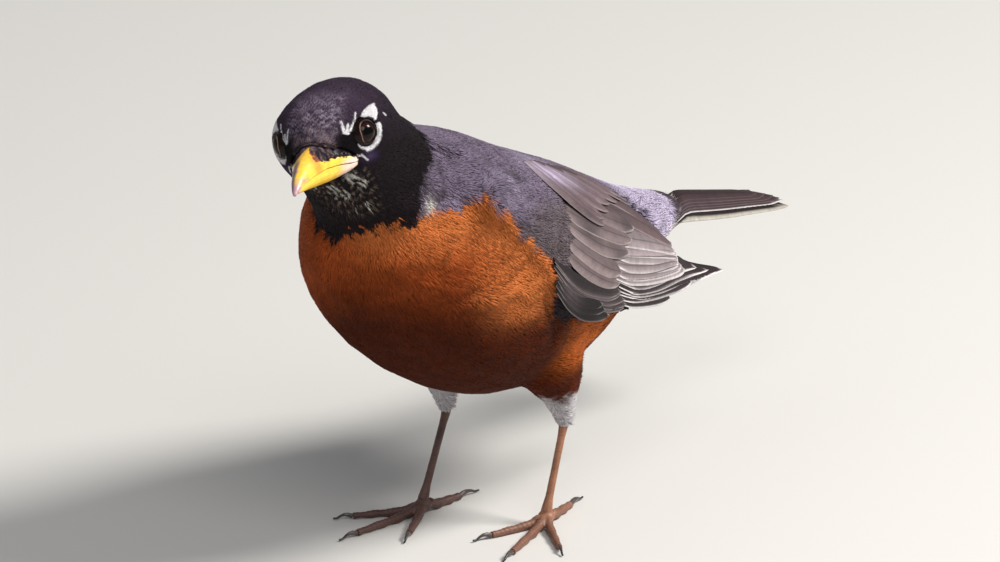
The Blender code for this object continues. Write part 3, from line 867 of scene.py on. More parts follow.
def build_skin():
    """One skin over head, neck, trunk, wings' arms, rump and thighs, below the coat."""
    pieces = []
    for node in SKIN_NODES:
        piece = copy_of(node, "skin_" + node)
        places = places_of(piece)
        swell = SKIN_SWELL + CREASE_FILL * crease_share(places)
        move_to(piece, places + normals_of(piece) * swell[:, None])
        pieces.append(piece)
    skin = joined(pieces, "skin")
    applied(skin, "REMESH", mode="VOXEL", voxel_size=SKIN_VOXEL * MM, adaptivity=0.0)
    keep_largest(skin)
    applied(skin, "SMOOTH", factor=0.5, iterations=8)
    smoothed_by(skin, crease_share(places_of(skin)), 30)
    places = places_of(skin)
    depth = coat_depth(places) + SKIN_SWELL + CREASE_FILL * crease_share(places)
    move_to(skin, places - normals_of(skin) * depth[:, None])
    smoothed_by(skin, crease_share(places_of(skin)), 40)
    move_to(skin, sunk(places_of(skin)))
    applied(skin, "SMOOTH", factor=0.4, iterations=3)
    refined_near_eyes(skin)
    places = lidded(places_of(skin))
    move_to(skin, places)
    colours = coat_colour(places)
    # Painted shade: the skin under the wings' firm feathers is dark where it shows between them
    for sheet in WING_SHEETS.values():
        colours = np.where(under_vanes(sheet, places)[:, None], GREY_DARK * 0.5, colours)
    tinted(skin, colours)
    skin.data.materials.clear()
    skin.data.materials.append(skin_finish())
    return smooth(skin)


# ---- contour coat --------------------------------------------------------------------------

SOWING_CELL, CELL_BITS = 2.5, 7      # mm, and the binary digits of a cell's number along each axis


def cell_order(middle):
    """Faces in an order that keeps neighbours together: cell by cell along a path that folds in three."""
    cell = np.floor((middle - middle.min(0)) / SOWING_CELL).astype(np.int64)
    code = np.zeros(len(cell), np.int64)
    for bit in range(CELL_BITS):
        for axis in range(3):
            code |= ((cell[:, axis] >> bit) & 1) << (3 * bit + axis)
    return np.argsort(code, kind="stable")


def sown(piece, count, density):
    """Places scattered evenly on a mesh by density, with normals, in the bird's millimetres."""
    mesh = piece.data
    mesh.calc_loop_triangles()
    index = np.empty(len(mesh.loop_triangles) * 3, int)
    mesh.loop_triangles.foreach_get("vertices", index)
    index = index.reshape(-1, 3)
    points, normals = places_of(piece), normals_of(piece)
    first, second, third = (points[column] for column in index.T)
    middle = (first + second + third) / 3
    area = np.linalg.norm(np.cross(second - first, third - first), axis=1) / 2 * density(middle)
    order = cell_order(middle)
    total = np.cumsum(area[order])
    at = (np.arange(count) + chance.random(count)) / count * total[-1]
    chosen = order[np.minimum(np.searchsorted(total, at), len(order) - 1)]
    one, two = chance.random(count), chance.random(count)
    folded = one + two > 1
    one, two = np.where(folded, 1 - one, one), np.where(folded, 1 - two, two)
    shares = np.stack((1 - one - two, one, two), 1)[..., None]
    return (points[index[chosen]] * shares).sum(1), unit((normals[index[chosen]] * shares).sum(1))


def eye_near(places):
    """1 close round either eye, 0 away from them."""
    gap = np.min([np.linalg.norm(places - eye_frame(side)[0], axis=-1) for side in SIDES], axis=0)
    return step(10.5, 8.0, gap)


def coat_density(places):
    """Tufts for each area of skin, compared with the body's: more where they are shorter."""
    on_head = head_share(places)
    face = on_head * step(-6, 3, to_head(places)[:, 0])
    dense = 1 + 0.9 * on_head + 1.4 * face + 4.5 * eye_near(places)
    for sheet in WING_SHEETS.values():
        dense = np.where(under_vanes(sheet, places), 0, dense)
    return dense * feathered(places)


RIM_TURN = (0.82, 0.93)          # how far skin faces outward where it turns in: by the back, by the rump


def beside_wing(roots, normals):
    """1 on the steep skin where it dips under a wing's upper edge, 0 elsewhere."""
    ahead, left, up = apart(roots)
    outward = unit((roots - (0, 0, WING_AXIS_UP)) * (0, 1, 1))
    upper = (ahead < 0) & (ahead > -50) & (up > 72) & (np.abs(left) > 5)
    rim = eased(*RIM_TURN, step(-26, -34, ahead))
    return upper * step(rim + 0.03, rim, (normals * outward).sum(1))


BAKE_PATCH = 0.0022              # the length of a tuft's patch on the OFBake map


def bake_places(roots, ways, points, per_root):
    """The OFBake map: each tuft a small patch at its root's place on the unwrap."""
    offset = points - np.repeat(roots, per_root, 0)
    along = (offset * np.repeat(ways, per_root, 0)).sum(1)
    span = np.maximum(np.abs(along.reshape(-1, per_root)).max(1), 0.1)
    lift = np.linalg.norm(offset, axis=1) ** 2 - along ** 2
    shift = np.stack((np.sqrt(np.maximum(lift, 0)), along), 1) / np.repeat(span, per_root)[:, None]
    return np.clip(np.repeat(along_lie(roots), per_root, 0) + (shift - 0.5) * BAKE_PATCH, 0, 1)


# A strand is a closed spindle: its root, a ring of three points and its tip
STRAND_FACES = np.array(((0, 2, 1), (0, 3, 2), (0, 1, 3), (1, 2, 4), (2, 3, 4), (3, 1, 4)))
STRAND_POINTS = 5
STRAND_SHADES = np.array((0.85, 0.98, 0.98, 1.0, 1.03))  # at its points
STRAND_RING, RING_LIFT = 0.45, 0.72  # shares of the length and of the lift at its ring
STRAND_RIDGE = 0.17              # the ring's height, as a share of its width
ROOT_DEPTH = 0.35                # mm that its root lies below the skin
STRANDS = 4                      # in each tuft
TUFT_DRIFT, STRAND_DRIFT = 0.07, 0.05    # radians that tufts, and the strands in one, stray from their way
PLACE_DRIFT = 0.22               # how far strands stray across a tuft, as a share of its half width
# From strand to strand, the least and most of the length, the lift and the width
LONG_RANGE, RISE_RANGE, WIDE_RANGE = (0.75, 1.12), (0.6, 1.05), (0.75, 1.2)


def strand_points(root, way, normal, length, width, lift, curve):
    """The points of strands that leave the skin along a way and bend down to it."""
    across = np.cross(normal, way) * width[:, None] / 2
    here = STRAND_RING * length
    ring = root + way * here[:, None] + normal * (lift * RING_LIFT - curve * here ** 2)[:, None]
    tip = root + way * length[:, None] + normal * (lift - curve * length ** 2)[:, None]
    ridge = ring + normal * (STRAND_RIDGE * width)[:, None]
    return np.stack((root - normal * ROOT_DEPTH, ring - across, ring + across, ridge, tip), 1)


def coat_piece(name, roots, normals, shape, colour_of, finish):
    """Tufts of tapered strands at the roots. shape gives length, width, lift, spread and curve."""
    length, width, lift, spread, curve = (part[:, None] for part in shape)
    each = (len(roots), STRANDS)
    ways = lie_of(roots, normals)
    drift = chance.normal(0, TUFT_DRIFT, len(roots)) + 0.09 * waves(roots, 14, 77)
    ways = unit(ways + np.cross(normals, ways) * drift[:, None])
    side = np.cross(normals, ways)
    place = np.linspace(-1, 1, STRANDS) + chance.normal(0, PLACE_DRIFT, each)
    angle = place * spread + chance.normal(0, STRAND_DRIFT, each)
    own_way = ways[:, None] * np.cos(angle)[..., None] + side[:, None] * np.sin(angle)[..., None]
    base = (roots[:, None] + side[:, None] * (place * 0.4 * width * STRANDS)[..., None]).reshape(-1, 3)
    long = length * (1 - 0.2 * place ** 2) * chance.uniform(*LONG_RANGE, each)
    rise = lift * chance.uniform(*RISE_RANGE, each)
    wide = width * chance.uniform(*WIDE_RANGE, each)
    points = strand_points(base, own_way.reshape(-1, 3), np.repeat(normals, STRANDS, 0), long.ravel(),
                           wide.ravel(), rise.ravel(), np.repeat(curve, STRANDS))
    faces = (STRAND_FACES[None] + STRAND_POINTS * np.arange(len(base))[:, None, None]).reshape(-1, 3)
    shade = np.repeat(chance.normal(1, 0.05, len(roots)), STRANDS) * chance.normal(1, 0.035, len(base))
    tint = colour_of(base)[:, None] * (shade[:, None] * STRAND_SHADES)[..., None]
    places = points.reshape(-1, 3)
    bake = bake_places(roots, ways, places, STRAND_POINTS * STRANDS)
    return built(name, in_frame(places), faces, finish, tint.reshape(-1, 3), {"OFBake": bake})


# Tufts by the part of the bird: length, width of a strand, and how far its tip stands off, all in mm
BODY_LONG, HEAD_LONG, FACE_LONG, EYELID_LONG, PRESSED_LONG = 5.4, 2.6, 1.3, 0.85, 2.0
BODY_WIDE, HEAD_WIDE, EYELID_WIDE = 0.40, 0.26, 0.15
BODY_LIFT, HEAD_LIFT, EYELID_LIFT, PRESSED_LIFT = 0.54, 0.5, 0.26, 0.16
BODY_SPREAD, HEAD_SPREAD = 0.20, 0.26    # radians from a tuft's middle to its outer strands
BODY_CURVE, HEAD_CURVE = 0.010, 0.030    # mm that a strand bends down, for each mm of length squared


def coat_shape(roots, pressed=0.0):
    """Length, width, lift, spread and curve of the tufts; where pressed is 1 they lie short and flat."""
    head = to_head(roots)
    ahead, _, up = apart(roots)
    on_head = head_share(roots)
    face = on_head * step(-1, 8, head[:, 0])
    forehead = on_head * step(9.5, 13, head[:, 0]) * step(-1, 2, head[:, 2])
    eyelid = eye_near(roots)
    shank = step(50, 40, up)
    back = step(30, -10, ahead) * step(66, 76, up)
    over_rump = step(-26, -34, ahead) * step(-66, -60, ahead) * step(78, 84, up)
    long = BODY_LONG + 0.6 * step(-30, -60, ahead) - 2.2 * shank
    long = eased(eased(long, HEAD_LONG, on_head), FACE_LONG, face) + forehead
    long = eased(eased(long, EYELID_LONG, eyelid), PRESSED_LONG, pressed)
    wide = eased(eased(BODY_WIDE, HEAD_WIDE, on_head) - 0.04 * face, EYELID_WIDE, eyelid)
    lift = BODY_LIFT - 0.06 * back - 0.2 * step(-55, -68, ahead) - 0.3 * shank - 0.25 * over_rump
    lift = eased(eased(lift, HEAD_LIFT, on_head) - 0.12 * face, EYELID_LIFT, eyelid)
    lift = eased(lift, PRESSED_LIFT, pressed)
    return long, wide, lift, eased(BODY_SPREAD, HEAD_SPREAD, on_head), eased(BODY_CURVE, HEAD_CURVE, on_head)


# How far ahead the face's feathers reach: height, ahead, in the head's frame
FACE_FRONT = ((-20, 15.5), (-10, 14.5), (-9.2, 13), (-8, 10.4), (-6.8, 9.2), (-5, 9), (-3.2, 10.8),
              (-1.9, 13.6), (0, 15), (2.7, 16.2), (6, 17.5))


def feathered(roots):
    """Whether feathers grow here: not on the eyes, under the bill's horn or on the tail's root."""
    head = to_head(roots)
    grows = ~((head[:, 0] > read_off(FACE_FRONT, head[:, 2])) & (head_share(roots) > 0.5))
    grows &= ~((roots[:, 0] < -76) & (roots[:, 2] > 70.5))
    for side in SIDES:
        angle, way, reach = eye_angles(roots, side)
        grows &= ~((angle < lid_edge(way) + 3) & (reach < 9))
    return grows


# ---- sheets that the firm feathers lie on --------------------------------------------------

WING_AXIS_UP = 45.0              # the wings are measured round a line at this height
WING_FRONT, WING_BACK = 36.0, -81.5
TAIL_FRONT, TAIL_BACK = -79.0, -119.0
SHEET_LANES, WING_SHEET_ROWS, TAIL_SHEET_ROWS = 28, 60, 24
CAST_FROM = 100.0                # mm from the wings' line that rays towards it start
WING_ANGLES = np.radians(np.arange(0, 88, 0.5))
TAIL_LEFTS = np.arange(0, 14, 0.25)


class Sheet:
    """A curved surface of the CAD: places from how far ahead, and the share of the way across it."""

    def __init__(self, rows, side):
        self.side = side
        self.grid = np.array(rows)
        self.front, self.back = self.grid[0, 0, 0], self.grid[-1, 0, 0]
        for _ in range(3):
            self.grid[1:-1] = 0.25 * self.grid[:-2] + 0.5 * self.grid[1:-1] + 0.25 * self.grid[2:]

    def at(self, ahead, share, height=0.0):
        """Places on the sheet, raised outward by height in mm. Beyond its edges it runs on straight."""
        row = (self.front - np.asarray(ahead, float)) / (self.front - self.back) * (len(self.grid) - 1)
        lane = np.asarray(share, float) * (SHEET_LANES - 1)
        row, lane, height = np.broadcast_arrays(row, lane, np.asarray(height, float))
        low_row = np.clip(np.floor(row).astype(int), 0, len(self.grid) - 2)
        low_lane = np.clip(np.floor(lane).astype(int), 0, SHEET_LANES - 2)
        part_row, part_lane = (row - low_row)[..., None], (lane - low_lane)[..., None]
        corner = [[self.grid[low_row + i, low_lane + j] for j in (0, 1)] for i in (0, 1)]
        place = ((corner[0][0] * (1 - part_lane) + corner[0][1] * part_lane) * (1 - part_row)
                 + (corner[1][0] * (1 - part_lane) + corner[1][1] * part_lane) * part_row)
        down = corner[0][1] - corner[0][0] + corner[1][1] - corner[1][0]
        back = corner[1][0] - corner[0][0] + corner[1][1] - corner[0][1]
        normal = unit(np.cross(back, down)) * -self.side
        return place + normal * height[..., None]

    def span(self, ahead):
        """The sheet's width from edge to edge, in mm."""
        edge = [self.at(ahead, share) for share in np.linspace(0, 1, 9)]
        return sum(np.linalg.norm(edge[i + 1] - edge[i], axis=-1) for i in range(8))


def tree_of(names):
    """CAD nodes as one mesh that rays can be cast at."""
    points, faces = [], []
    for name in names:
        mesh, base = NODES[name].data, len(points)
        points += [vertex.co.copy() for vertex in mesh.vertices]
        faces += [[base + v for v in polygon.vertices] for polygon in mesh.polygons]
    return BVHTree.FromPolygons(points, faces)


def cast(tree, start, way):
    """Where a ray meets the mesh, all in the bird's millimetres, or None."""
    hit = tree.ray_cast(Vector(in_frame(start)), Vector(turned_to_frame(np.asarray(way, float))))[0]
    return None if hit is None else in_bird(hit)


def wing_sheet(side):
    """Share 0 at the folded wing's upper edge, 1 at its lower edge."""
    tree = tree_of([f"wing_{SIDES[side]}_{part}" for part in ("coverts", "secondaries", "primaries")])
    rows = []
    for ahead in np.linspace(WING_FRONT, WING_BACK, WING_SHEET_ROWS):
        found = []
        for angle in WING_ANGLES:
            way = np.array((0, side * math.cos(angle), math.sin(angle)))
            start = np.array((ahead, 0, WING_AXIS_UP)) + way * CAST_FROM
            hit = cast(tree, start, -way)
            if hit is not None:
                found.append((angle, CAST_FROM - np.linalg.norm(hit - start)))
        angles, reaches = np.array(found).T
        lanes = np.linspace(angles[-1], angles[0], SHEET_LANES)
        reach = np.interp(lanes, angles, reaches)
        rows.append(np.stack((np.full(SHEET_LANES, ahead), side * reach * np.cos(lanes),
                              WING_AXIS_UP + reach * np.sin(lanes)), 1))
    return Sheet(rows, side)


def tail_sheet(side):
    """Share 0 at the tail's middle line, 1 at its outer edge."""
    tree = tree_of(("tail",))
    rows = []
    for ahead in np.linspace(TAIL_FRONT, TAIL_BACK, TAIL_SHEET_ROWS):
        hits = [(left, cast(tree, (ahead, side * left, 140), (0, 0, -1))) for left in TAIL_LEFTS]
        lefts, ups = np.array([(left, hit[2]) for left, hit in hits if hit is not None]).T
        lanes = np.linspace(0, lefts[-1], SHEET_LANES)
        rows.append(np.stack((np.full(SHEET_LANES, ahead), side * lanes, np.interp(lanes, lefts, ups)), 1))
    return Sheet(rows, side)


# Where the wing's firm feathers come out from under its soft ones: share across the wing, ahead
ARM_EDGE = ((-0.1, -32), (0.03, -14), (0.10, 0), (0.25, 2), (0.38, 3), (0.46, 5), (0.55, 7), (0.72, 12),
            (0.80, 15), (0.87, 18), (0.95, 18.5), (1.1, 19))
# How far down from the wing's upper edge soft feathers reach over the firm ones: ahead, share
SOFT_RIM = ((-60, 0.36), (-42, 0.22), (-30, 0.10), (-15, 0.0))


def wing_share(sheet, places):
    """How far across the folded wing each place is, seen from the line it is measured round."""
    measure = lambda p: np.arctan2(p[:, 2] - WING_AXIS_UP, sheet.side * p[:, 1])
    ahead = np.clip(places[:, 0], WING_BACK, WING_FRONT)
    upper, lower = measure(sheet.at(ahead, 0.0)), measure(sheet.at(ahead, 1.0))
    return (upper - measure(places)) / np.maximum(upper - lower, 1e-3)


def nearest_on(sheet, places, share):
    """The places on the folded wing's surface above or below these, by their share across it."""
    return sheet.at(np.clip(places[:, 0], WING_BACK, WING_FRONT), np.clip(share, 0, 1))


def under_vanes(sheet, places):
    """Whether firm wing feathers cover the skin here, so that no tufts need to grow."""
    ahead, left, _ = apart(places)
    share = wing_share(sheet, places)
    near = np.linalg.norm(places - nearest_on(sheet, places, share), axis=1)
    inside = (share > 0.03) & (share < 0.93) & (near < 16)
    inside |= (share > -0.05) & (share < 1.05) & (near < 4)
    inside &= share > read_off(SOFT_RIM, ahead)
    edge = read_off(ARM_EDGE, share) - 1.5 + 1.6 * waves(places, 5, 13)
    return inside & (ahead < edge) & (ahead > WING_BACK) & (sheet.side * left > 0)


def on_arm(sheet, places):
    """Whether a place is on the wing's soft-feathered part."""
    ahead, left, _ = apart(places)
    share = wing_share(sheet, places)
    return (share > 0.1) & (share < 1) & (ahead < 34) & (ahead > -8) & (sheet.side * left > 8)


# ---- firm feathers -------------------------------------------------------------------------

VANE_ROOT, VANE_LEAST = 0.35, 0.012  # a vane's width at its root and at its tip, as shares of its widest
VANE_JITTER = np.array((0.8, 0.006) * 3 + (0.15,))   # of a row's numbers, from feather to feather
SHAFT_RIDGE = 0.07               # mm that the shaft stands up
SPOT_SPAN = 55.0                 # mm from the wing's upper to its lower edge, for round spots
BARB_SLANT = 0.9                 # how far the barbs' pattern runs along the vane for each mm across it
BARB_SHIFT = 37                  # mm from one feather's part of the pattern to the next one's
STEPS_POWER = 0.9                # below 1 the steps along a vane are closer towards its tip


def grid_faces(rows, lanes):
    """Faces of a closed thin shell: a top grid, a bottom grid after it, and the wall between."""
    at = lambda i, j, low: low * rows * lanes + i * lanes + j
    faces = []
    for i in range(rows - 1):
        for j in range(lanes - 1):
            faces.append((at(i, j, 0), at(i + 1, j, 0), at(i + 1, j + 1, 0), at(i, j + 1, 0)))
            faces.append((at(i, j, 1), at(i, j + 1, 1), at(i + 1, j + 1, 1), at(i + 1, j, 1)))
    for i in range(rows - 1):
        faces.append((at(i, 0, 0), at(i, 0, 1), at(i + 1, 0, 1), at(i + 1, 0, 0)))
        last = lanes - 1
        faces.append((at(i, last, 0), at(i + 1, last, 0), at(i + 1, last, 1), at(i, last, 1)))
    for j in range(lanes - 1):
        faces.append((at(0, j, 0), at(0, j + 1, 0), at(0, j + 1, 1), at(0, j, 1)))
        last = rows - 1
        faces.append((at(last, j, 0), at(last, j, 1), at(last, j + 1, 1), at(last, j + 1, 0)))
    return np.array(faces)


def vane_width(along, tip_start, tip_power):
    """A vane's width along it, as a share of its widest."""
    closing = np.clip((along - tip_start) / (1 - tip_start), 0, 1)
    opening = eased(VANE_ROOT, 1, step(0, 0.22, along))
    return opening * np.maximum(1 - closing ** tip_power, 0) ** (1 / tip_power) + VANE_LEAST


class VaneKind:
    """What a row of firm feathers has in common."""

    def __init__(self, **facts):
        self.shaft = 0.38            # the shaft's place across the vane, from its outer edge
        self.thick = 0.14
        # In mm: the height over the sheet, and how far the root lies lower, the inner edge below the
        # outer one, and both edges below the middle
        self.height, self.rise, self.tilt, self.camber = 0.0, 0.5, 0.4, 0.3
        self.tip_start, self.tip_power = 0.72, 2.0   # where the tip's rounding starts, and its bluntness
        self.rows, self.lanes = 20, 9
        self.fringe = 0.6            # mm of pale edge
        self.edge_share = 0.9        # how strongly the edge takes its colour
        # The covered part's dark colour is partly its darker inner web, partly painted shade under the next
        # feather
        self.inner = 0.8             # how strongly the covered part takes the dark colour
        self.spots = ()              # dark spots: ahead, share across the wing, radius in mm
        self.jitter = 1.0
        self.soft = False            # which of the two finishes the vanes have
        self.__dict__.update(facts)

    def across(self):
        """The shares across a vane where its points lie, closest at the edge and by the shaft."""
        inner = np.linspace(self.shaft + 0.03, 1, self.lanes - 5)
        return np.concatenate(((0, 0.06, 0.15, self.shaft - 0.03, self.shaft), inner))

    def height_at(self, along, across):
        """How high a vane lies over its sheet, in mm."""
        return (self.height - self.rise * (1 - along) + self.tilt * (0.5 - across)
                - self.camber * (2 * across - 1) ** 2
                + SHAFT_RIDGE * np.exp(-((across - self.shaft) / 0.03) ** 2))

    def fringe_share(self, from_edge, from_tip):
        """1 on the pale edge and tip, 0 inside them."""
        edge = step(self.fringe * 1.5, self.fringe * 0.7, np.minimum(from_edge, 9))
        return np.maximum(edge, 0.7 * step(self.fringe * 1.3, self.fringe * 0.4, from_tip))


def vanes(name, sheet, rows, kind, finish, dice):
    """Lays feathers on a sheet. A row: outer edge's start, middle and end as (ahead, share), then width."""
    rows = np.asarray(rows, float)
    rows = rows + dice.normal(0, 1, rows.shape) * VANE_JITTER * kind.jitter
    count = len(rows)
    along = np.linspace(0, 1, kind.rows) ** STEPS_POWER
    bend = np.stack(((1 - along) ** 2, 2 * along * (1 - along), along ** 2))
    ahead = rows[:, 0:5:2] @ bend
    middle = 2 * rows[:, 3] - 0.5 * (rows[:, 1] + rows[:, 5])
    edge = np.stack((rows[:, 1], middle, rows[:, 5]), 1) @ bend
    span = sheet.span(ahead)
    wide = rows[:, 6:7] * vane_width(along, kind.tip_start, kind.tip_power)
    run = unit(np.stack((np.gradient(ahead, axis=1), np.gradient(edge, axis=1) * span), -1))
    across = kind.across()
    ripple = np.sin(along * dice.uniform(9, 16, (count, 1)) + dice.uniform(0, 6, (count, 1)))
    shift = (kind.shaft - across) * (wide * (1 + 0.02 * kind.jitter * ripple))[..., None]
    shift = shift - kind.shaft * rows[:, 6][:, None, None]
    share = edge[..., None] - run[..., :1] * shift / span[..., None]
    ahead = ahead[..., None] + run[..., 1:] * shift
    height = kind.height_at(along[:, None], across)
    top = sheet.at(ahead, share, height)
    bottom = sheet.at(ahead, share, height - kind.thick)
    length = np.linalg.norm(top[:, :1] - top[:, -1:], axis=-1)[..., :1]
    faces = grid_faces(kind.rows, kind.lanes)[:, ::-sheet.side]
    each = 2 * kind.rows * kind.lanes
    return SimpleNamespace(
        name=name, kind=kind, finish=finish, dice=dice, count=count, top=top, ahead=ahead, share=share,
        length=length, wide=wide[..., None], along=np.broadcast_to(along[:, None], share.shape),
        across=np.broadcast_to(across, share.shape), places=np.stack((top, bottom), 1).reshape(-1, 3),
        faces=(faces + each * np.arange(count)[:, None, None]).reshape(-1, 4),
        fringe=kind.fringe_share(across * wide[..., None], (1 - along)[:, None] * length))


def vane_colours(laid, main, edge, dark, colour_of=None):
    """The top's colours: the main one, the dark one by the shaft and inwards, where the inner web is darker
    and painted shade lies under the next feather, spots, and a pale edge.
    """
    kind, along, across = laid.kind, laid.along, laid.across
    shade = laid.dice.normal(1, 0.07, (laid.count, 1, 1, 1))
    base = colour_of(laid.top) if colour_of else np.broadcast_to(main, laid.top.shape)
    near_shaft = np.exp(-((across - kind.shaft) / 0.2) ** 2) * step(1.02, 0.7, along)
    # Darker inwards: the inner web's own colour, and painted shade where the next feather overlaps
    inner = step(0.12, 0.62, across) * step(1.15, 0.75, along)
    colour = blended(base * shade, dark * shade, np.clip(0.2 * near_shaft + kind.inner * inner, 0, 1))
    for ahead, share, radius in kind.spots:
        gap = ((laid.ahead - ahead) / radius) ** 2 + ((laid.share - share) * SPOT_SPAN / radius) ** 2
        colour = blended(colour, WING_SMOKE, 0.92 * np.exp(-gap))
    shaft = np.exp(-((across - kind.shaft) / 0.022) ** 2)
    return painted(colour, (edge, laid.fringe * kind.edge_share), (dark * 0.6, 0.7 * shaft))


def vane_maps(laid):
    """The OFBake map, a cell for each feather, and the Barbs map, in mm along and across it."""
    number = np.arange(laid.count)
    lane = (laid.across - laid.kind.shaft) * laid.wide
    run = laid.along * laid.length + BARB_SLANT * np.abs(lane) + BARB_SHIFT * number[:, None, None]
    barbs = np.stack((run, lane), -1)
    cells = math.ceil(math.sqrt(laid.count))
    corner = np.stack((number % cells, number // cells), -1)[:, None, None, None]
    halves = [np.stack((laid.across * 0.42 + 0.04 + 0.5 * low, laid.along * 0.92 + 0.04), -1)
              for low in (0, 1)]
    return {"OFBake": ((corner + np.stack(halves, 1)) / cells).reshape(-1, 2),
            "Barbs": np.stack((barbs, barbs), 1).reshape(-1, 2)}


def vane_piece(laid, tones, colour_of=None):
    """Paints and builds laid vanes, a little darker below. The tones are main, edge and dark."""
    colour = vane_colours(laid, *tones, colour_of)
    tint = np.stack((colour, colour * 0.8), 1).reshape(-1, 3)
    return built(laid.name, in_frame(laid.places), laid.faces, laid.finish, tint, vane_maps(laid))


WING_BLACK = tone(0.011, 0.008, 0.009)
WING_SMOKE = tone(0.060, 0.046, 0.050)
WING_DARK = tone(0.060, 0.042, 0.046)
WING_SOFT = tone(0.095, 0.070, 0.078)
WING_BROWN = tone(0.135, 0.097, 0.106)
WING_TERTIAL = tone(0.098, 0.062, 0.068)
WING_GREY = tone(0.200, 0.157, 0.158)
WING_PALE = tone(0.255, 0.210, 0.222)
WING_TIP = tone(0.036, 0.024, 0.028)
WING_EDGE = tone(0.50, 0.44, 0.43)
WHITE_EDGE = tone(0.80, 0.76, 0.77)
# The painted highlight on the scapulars
LAVENDER_HIGHLIGHT = tone(0.52, 0.44, 0.60)

# Rows of feathers: the outer edge's start, middle and end as (ahead, share), then the width in mm
PRIMARIES = (
    (-14, 0.83, -42, 0.875, -69, 0.62, 6.5), (-14, 0.87, -46, 0.92, -76, 0.66, 6.5),
    (-14, 0.90, -50, 0.95, -82, 0.75, 6.5), (-14, 0.93, -44, 0.985, -66, 0.92, 6.0),
    (-14, 0.965, -34, 1.03, -47, 1.05, 5.0),
)
SECONDARIES = (
    (-10, 0.57, -35, 0.63, -58.7, 0.585, 10.0), (-10, 0.65, -40, 0.70, -58, 0.62, 9.0),
    (-10, 0.70, -39, 0.76, -57, 0.70, 8.5), (-10, 0.76, -36, 0.83, -57.5, 0.745, 8.0),
    (-10, 0.80, -38, 0.87, -59.6, 0.785, 7.0),
)
TERTIALS = (
    (-2, 0.10, -26, 0.19, -45, 0.26, 10.0), (-6, 0.22, -33, 0.35, -57, 0.41, 11.0),
    (-8, 0.36, -32, 0.49, -58, 0.51, 11.0),
)
PRIMARY_COVERTS = (
    (16, 0.84, 2, 0.895, -13, 0.89, 5.4), (18, 0.90, 2, 0.94, -16, 0.95, 4.8),
    (18, 0.95, 2, 0.985, -16, 1.0, 4.2),
)
ALULA = ((17.5, 0.97, 7, 1.0, -4, 0.965, 4.8), (17, 1.06, 6, 1.06, -8, 1.015, 4.4))
GREATER_COVERTS = (
    (1, 0.30, -12, 0.48, -31, 0.57, 9.5), (5, 0.43, -8, 0.555, -25, 0.65, 9.5),
    (8, 0.50, -4, 0.64, -22, 0.71, 9.0), (11, 0.60, 0, 0.74, -15, 0.81, 8.5),
    (13, 0.69, 2, 0.81, -12, 0.87, 7.5),
)
SCAPULARS = (
    (4, 0.02, 3, 0.33, -11, 0.535, 11.0), (-1, 0.01, -3, 0.28, -17, 0.47, 11.0),
    (-9, 0.0, -12, 0.24, -26, 0.40, 10.5), (-18, 0.0, -22, 0.18, -35, 0.30, 10.0),
    (-28, 0.0, -33, 0.12, -44, 0.20, 8.5),
)
THUMB_SPOTS = ((12, 0.95, 4.5),)
COVERT_SPOTS = ((-5.4, 0.51, 5.5), (-28.1, 0.48, 5.5), (-17, 0.69, 5.5))


def scapular_colour(places):
    """Brown-grey, with a painted lavender highlight on the feathers that catch the light."""
    mottle = 1 + 0.12 * waves(places, 6, 51)[..., None]
    return blended(WING_BROWN * mottle, LAVENDER_HIGHLIGHT, 0.85 * shine_share(places))


# The wing's rows, the lowest first: name, outlines, number of feathers, what they have in common, and
# their main, edge and dark tones
WING_ROWS = (
    ("primaries", PRIMARIES, 6,
     VaneKind(shaft=0.26, height=-0.75, tilt=0.5, rise=0.3, rows=26, tip_power=1.5, fringe=0.32, camber=0.1,
              jitter=0.4), (WING_TIP, WHITE_EDGE, WING_BLACK)),
    ("secondaries", SECONDARIES, 6,
     VaneKind(shaft=0.28, height=-0.4, tilt=0.6, rows=24, fringe=0.4, edge_share=0.75, inner=0.6,
              tip_start=0.8, camber=0.15, jitter=0.5), (WING_PALE, WHITE_EDGE, WING_DARK)),
    ("tertials", TERTIALS, 3,
     VaneKind(shaft=0.42, height=-0.15, tilt=0.5, rise=0.7, rows=24, tip_start=0.66, fringe=0.3,
              edge_share=0.45, spots=COVERT_SPOTS), (WING_TERTIAL, WING_EDGE, WING_DARK)),
    ("primary_coverts", PRIMARY_COVERTS, 5,
     VaneKind(height=-0.2, tilt=0.5, fringe=0.25, edge_share=0.4, tip_power=1.6, camber=0.15),
     (WING_SMOKE, WING_EDGE, WING_BLACK)),
    ("alula", ALULA, 3,
     VaneKind(height=0.1, fringe=0.2, edge_share=0.3, tip_power=1.6, spots=THUMB_SPOTS),
     (WING_BLACK, WHITE_EDGE, WING_BLACK)),
    ("greater_coverts", GREATER_COVERTS, 5,
     VaneKind(tilt=0.6, rise=1.2, fringe=0.3, edge_share=0.6, inner=0.55, tip_start=0.6, tip_power=1.8,
              rows=24, jitter=0.6, spots=COVERT_SPOTS, soft=True), (WING_GREY, WING_EDGE, WING_DARK)),
    ("scapulars", SCAPULARS, 8,
     VaneKind(shaft=0.3, height=0.1, tilt=0.5, rise=1.0, fringe=0.4, edge_share=0.2, inner=0.5, rows=24,
              tip_start=0.5, tip_power=1.7, spots=COVERT_SPOTS, soft=True),
     (WING_GREY, WING_EDGE, WING_SOFT)),
)


def build_wing(side, sheet, firm, soft):
    """All the feathers of one folded wing. They are all laid before the first is painted."""
    which = SIDES[side]
    dice = np.random.default_rng(7)
    laid = [vanes(f"{name}_{which}", sheet, through(rows, count), kind, soft if kind.soft else firm, dice)
            for name, rows, count, kind, _ in WING_ROWS]
    pieces = {}
    for row, (name, _, _, _, tones) in zip(laid, WING_ROWS):
        pieces[name] = vane_piece(row, tones, scapular_colour if name == "scapulars" else None)
        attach(pieces[name], "root")
    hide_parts(f"wing_{which}_primaries")
    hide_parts(f"wing_{which}_secondaries")
